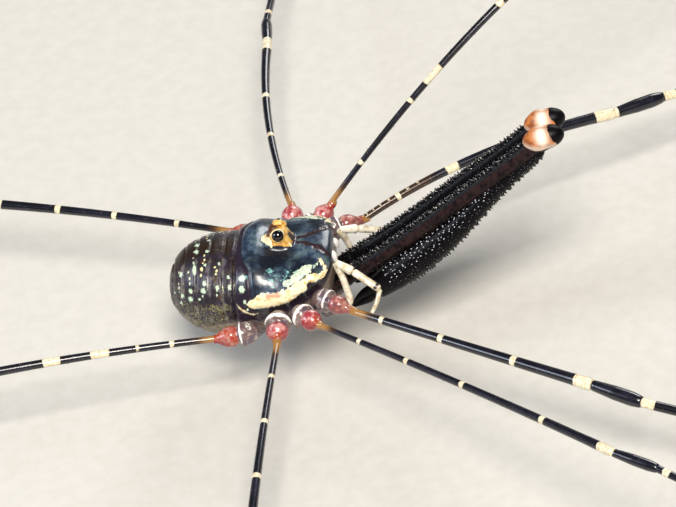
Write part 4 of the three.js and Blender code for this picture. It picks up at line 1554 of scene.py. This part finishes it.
def add_lamp(name, place, aim, watts, tint):
    """A square soft lamp at a place in the animal's frame, turned towards its aim."""
    data = bpy.data.lights.new(name, "AREA")
    data.shape = "SQUARE"
    data.size = sizes().key_size
    data.energy = watts
    data.color = linear(tint)
    lamp = bpy.data.objects.new(name, data)
    bpy.context.scene.collection.objects.link(lamp)
    place, aim = at_place(place), at_place(aim)
    turned = (place - aim).to_track_quat("Z", "Y").to_matrix().to_4x4()
    lamp.matrix_world = Matrix.Translation(place) @ turned


class BuildStage(bpy.types.Operator):
    """Builds the floor, the lights and the camera"""
    bl_idname = "harvestman.stage"
    bl_label = "Studio"

    def execute(self, context):
        scene = context.scene
        half = sizes().floor_size / 2
        mesh = bpy.data.meshes.new("studio_floor")
        corners = [(-half, -half, 0), (half, -half, 0), (half, half, 0), (-half, half, 0)]
        mesh.from_pydata(corners, [], [(0, 1, 2, 3)])
        mesh.materials.append(floor_material())
        floor = bpy.data.objects.new("studio_floor", mesh)
        scene.collection.objects.link(floor)

        world = bpy.data.worlds.new("studio_world")
        world.use_nodes = True
        background = world.node_tree.nodes["Background"]
        background.inputs["Color"].default_value = (*linear(SKY_TINT), 1)
        background.inputs["Strength"].default_value = SKY_STRENGTH
        scene.world = world
        for name, values in LAMPS.items():
            add_lamp(name, *values)

        data = bpy.data.cameras.new("photo_camera")
        data.lens = CAMERA["lens"]
        data.sensor_width = CAMERA["sensor"]
        data.clip_start = 0.01
        data.clip_end = 10
        camera = bpy.data.objects.new("photo_camera", data)
        scene.collection.objects.link(camera)
        right, up, back = view_axes()
        place = at_place(CAMERA["target"]) + back * CAMERA["distance"] * MM
        turned = Matrix((right, up, back)).transposed().to_4x4()
        camera.matrix_world = Matrix.Translation(place) @ turned
        scene.camera = camera
        scene.view_settings.view_transform = "Standard"
        return {"FINISHED"}


class HarvestmanPanel(bpy.types.Panel):
    """Lists the steps that build the model, with its sizes and colours"""
    bl_idname = "VIEW3D_PT_harvestman"
    bl_label = "Harvestman"
    bl_space_type = "VIEW_3D"
    bl_region_type = "UI"
    bl_category = "Harvestman"

    def draw(self, context):
        for step in STEPS:
            self.layout.operator(step.bl_idname)
        for group in (sizes(), colours()):
            for name in group.__annotations__:
                self.layout.prop(group, name)


STEPS = (BuildStage, BuildTrunk, BuildEyes, BuildChelicerae, BuildPalps, BuildLegs, BuildClaws,
         BuildHairs)
CLASSES = (HarvestmanSizes, HarvestmanColours, *STEPS, HarvestmanPanel)


def register():
    for part in CLASSES:
        bpy.utils.register_class(part)
    bpy.types.Scene.harvestman_sizes = bpy.props.PointerProperty(type=HarvestmanSizes)
    bpy.types.Scene.harvestman_colours = bpy.props.PointerProperty(type=HarvestmanColours)


def unregister():
    del bpy.types.Scene.harvestman_colours
    del bpy.types.Scene.harvestman_sizes
    for part in reversed(CLASSES):
        bpy.utils.unregister_class(part)


def main():
    register()
    bpy.ops.harvestman.stage()
    bpy.ops.harvestman.trunk()
    bpy.ops.harvestman.eyes()
    bpy.ops.harvestman.chelicerae()
    bpy.ops.harvestman.palps()
    bpy.ops.harvestman.legs()
    bpy.ops.harvestman.claws()
    bpy.ops.harvestman.hairs()


if __name__ == "__main__":
    main()
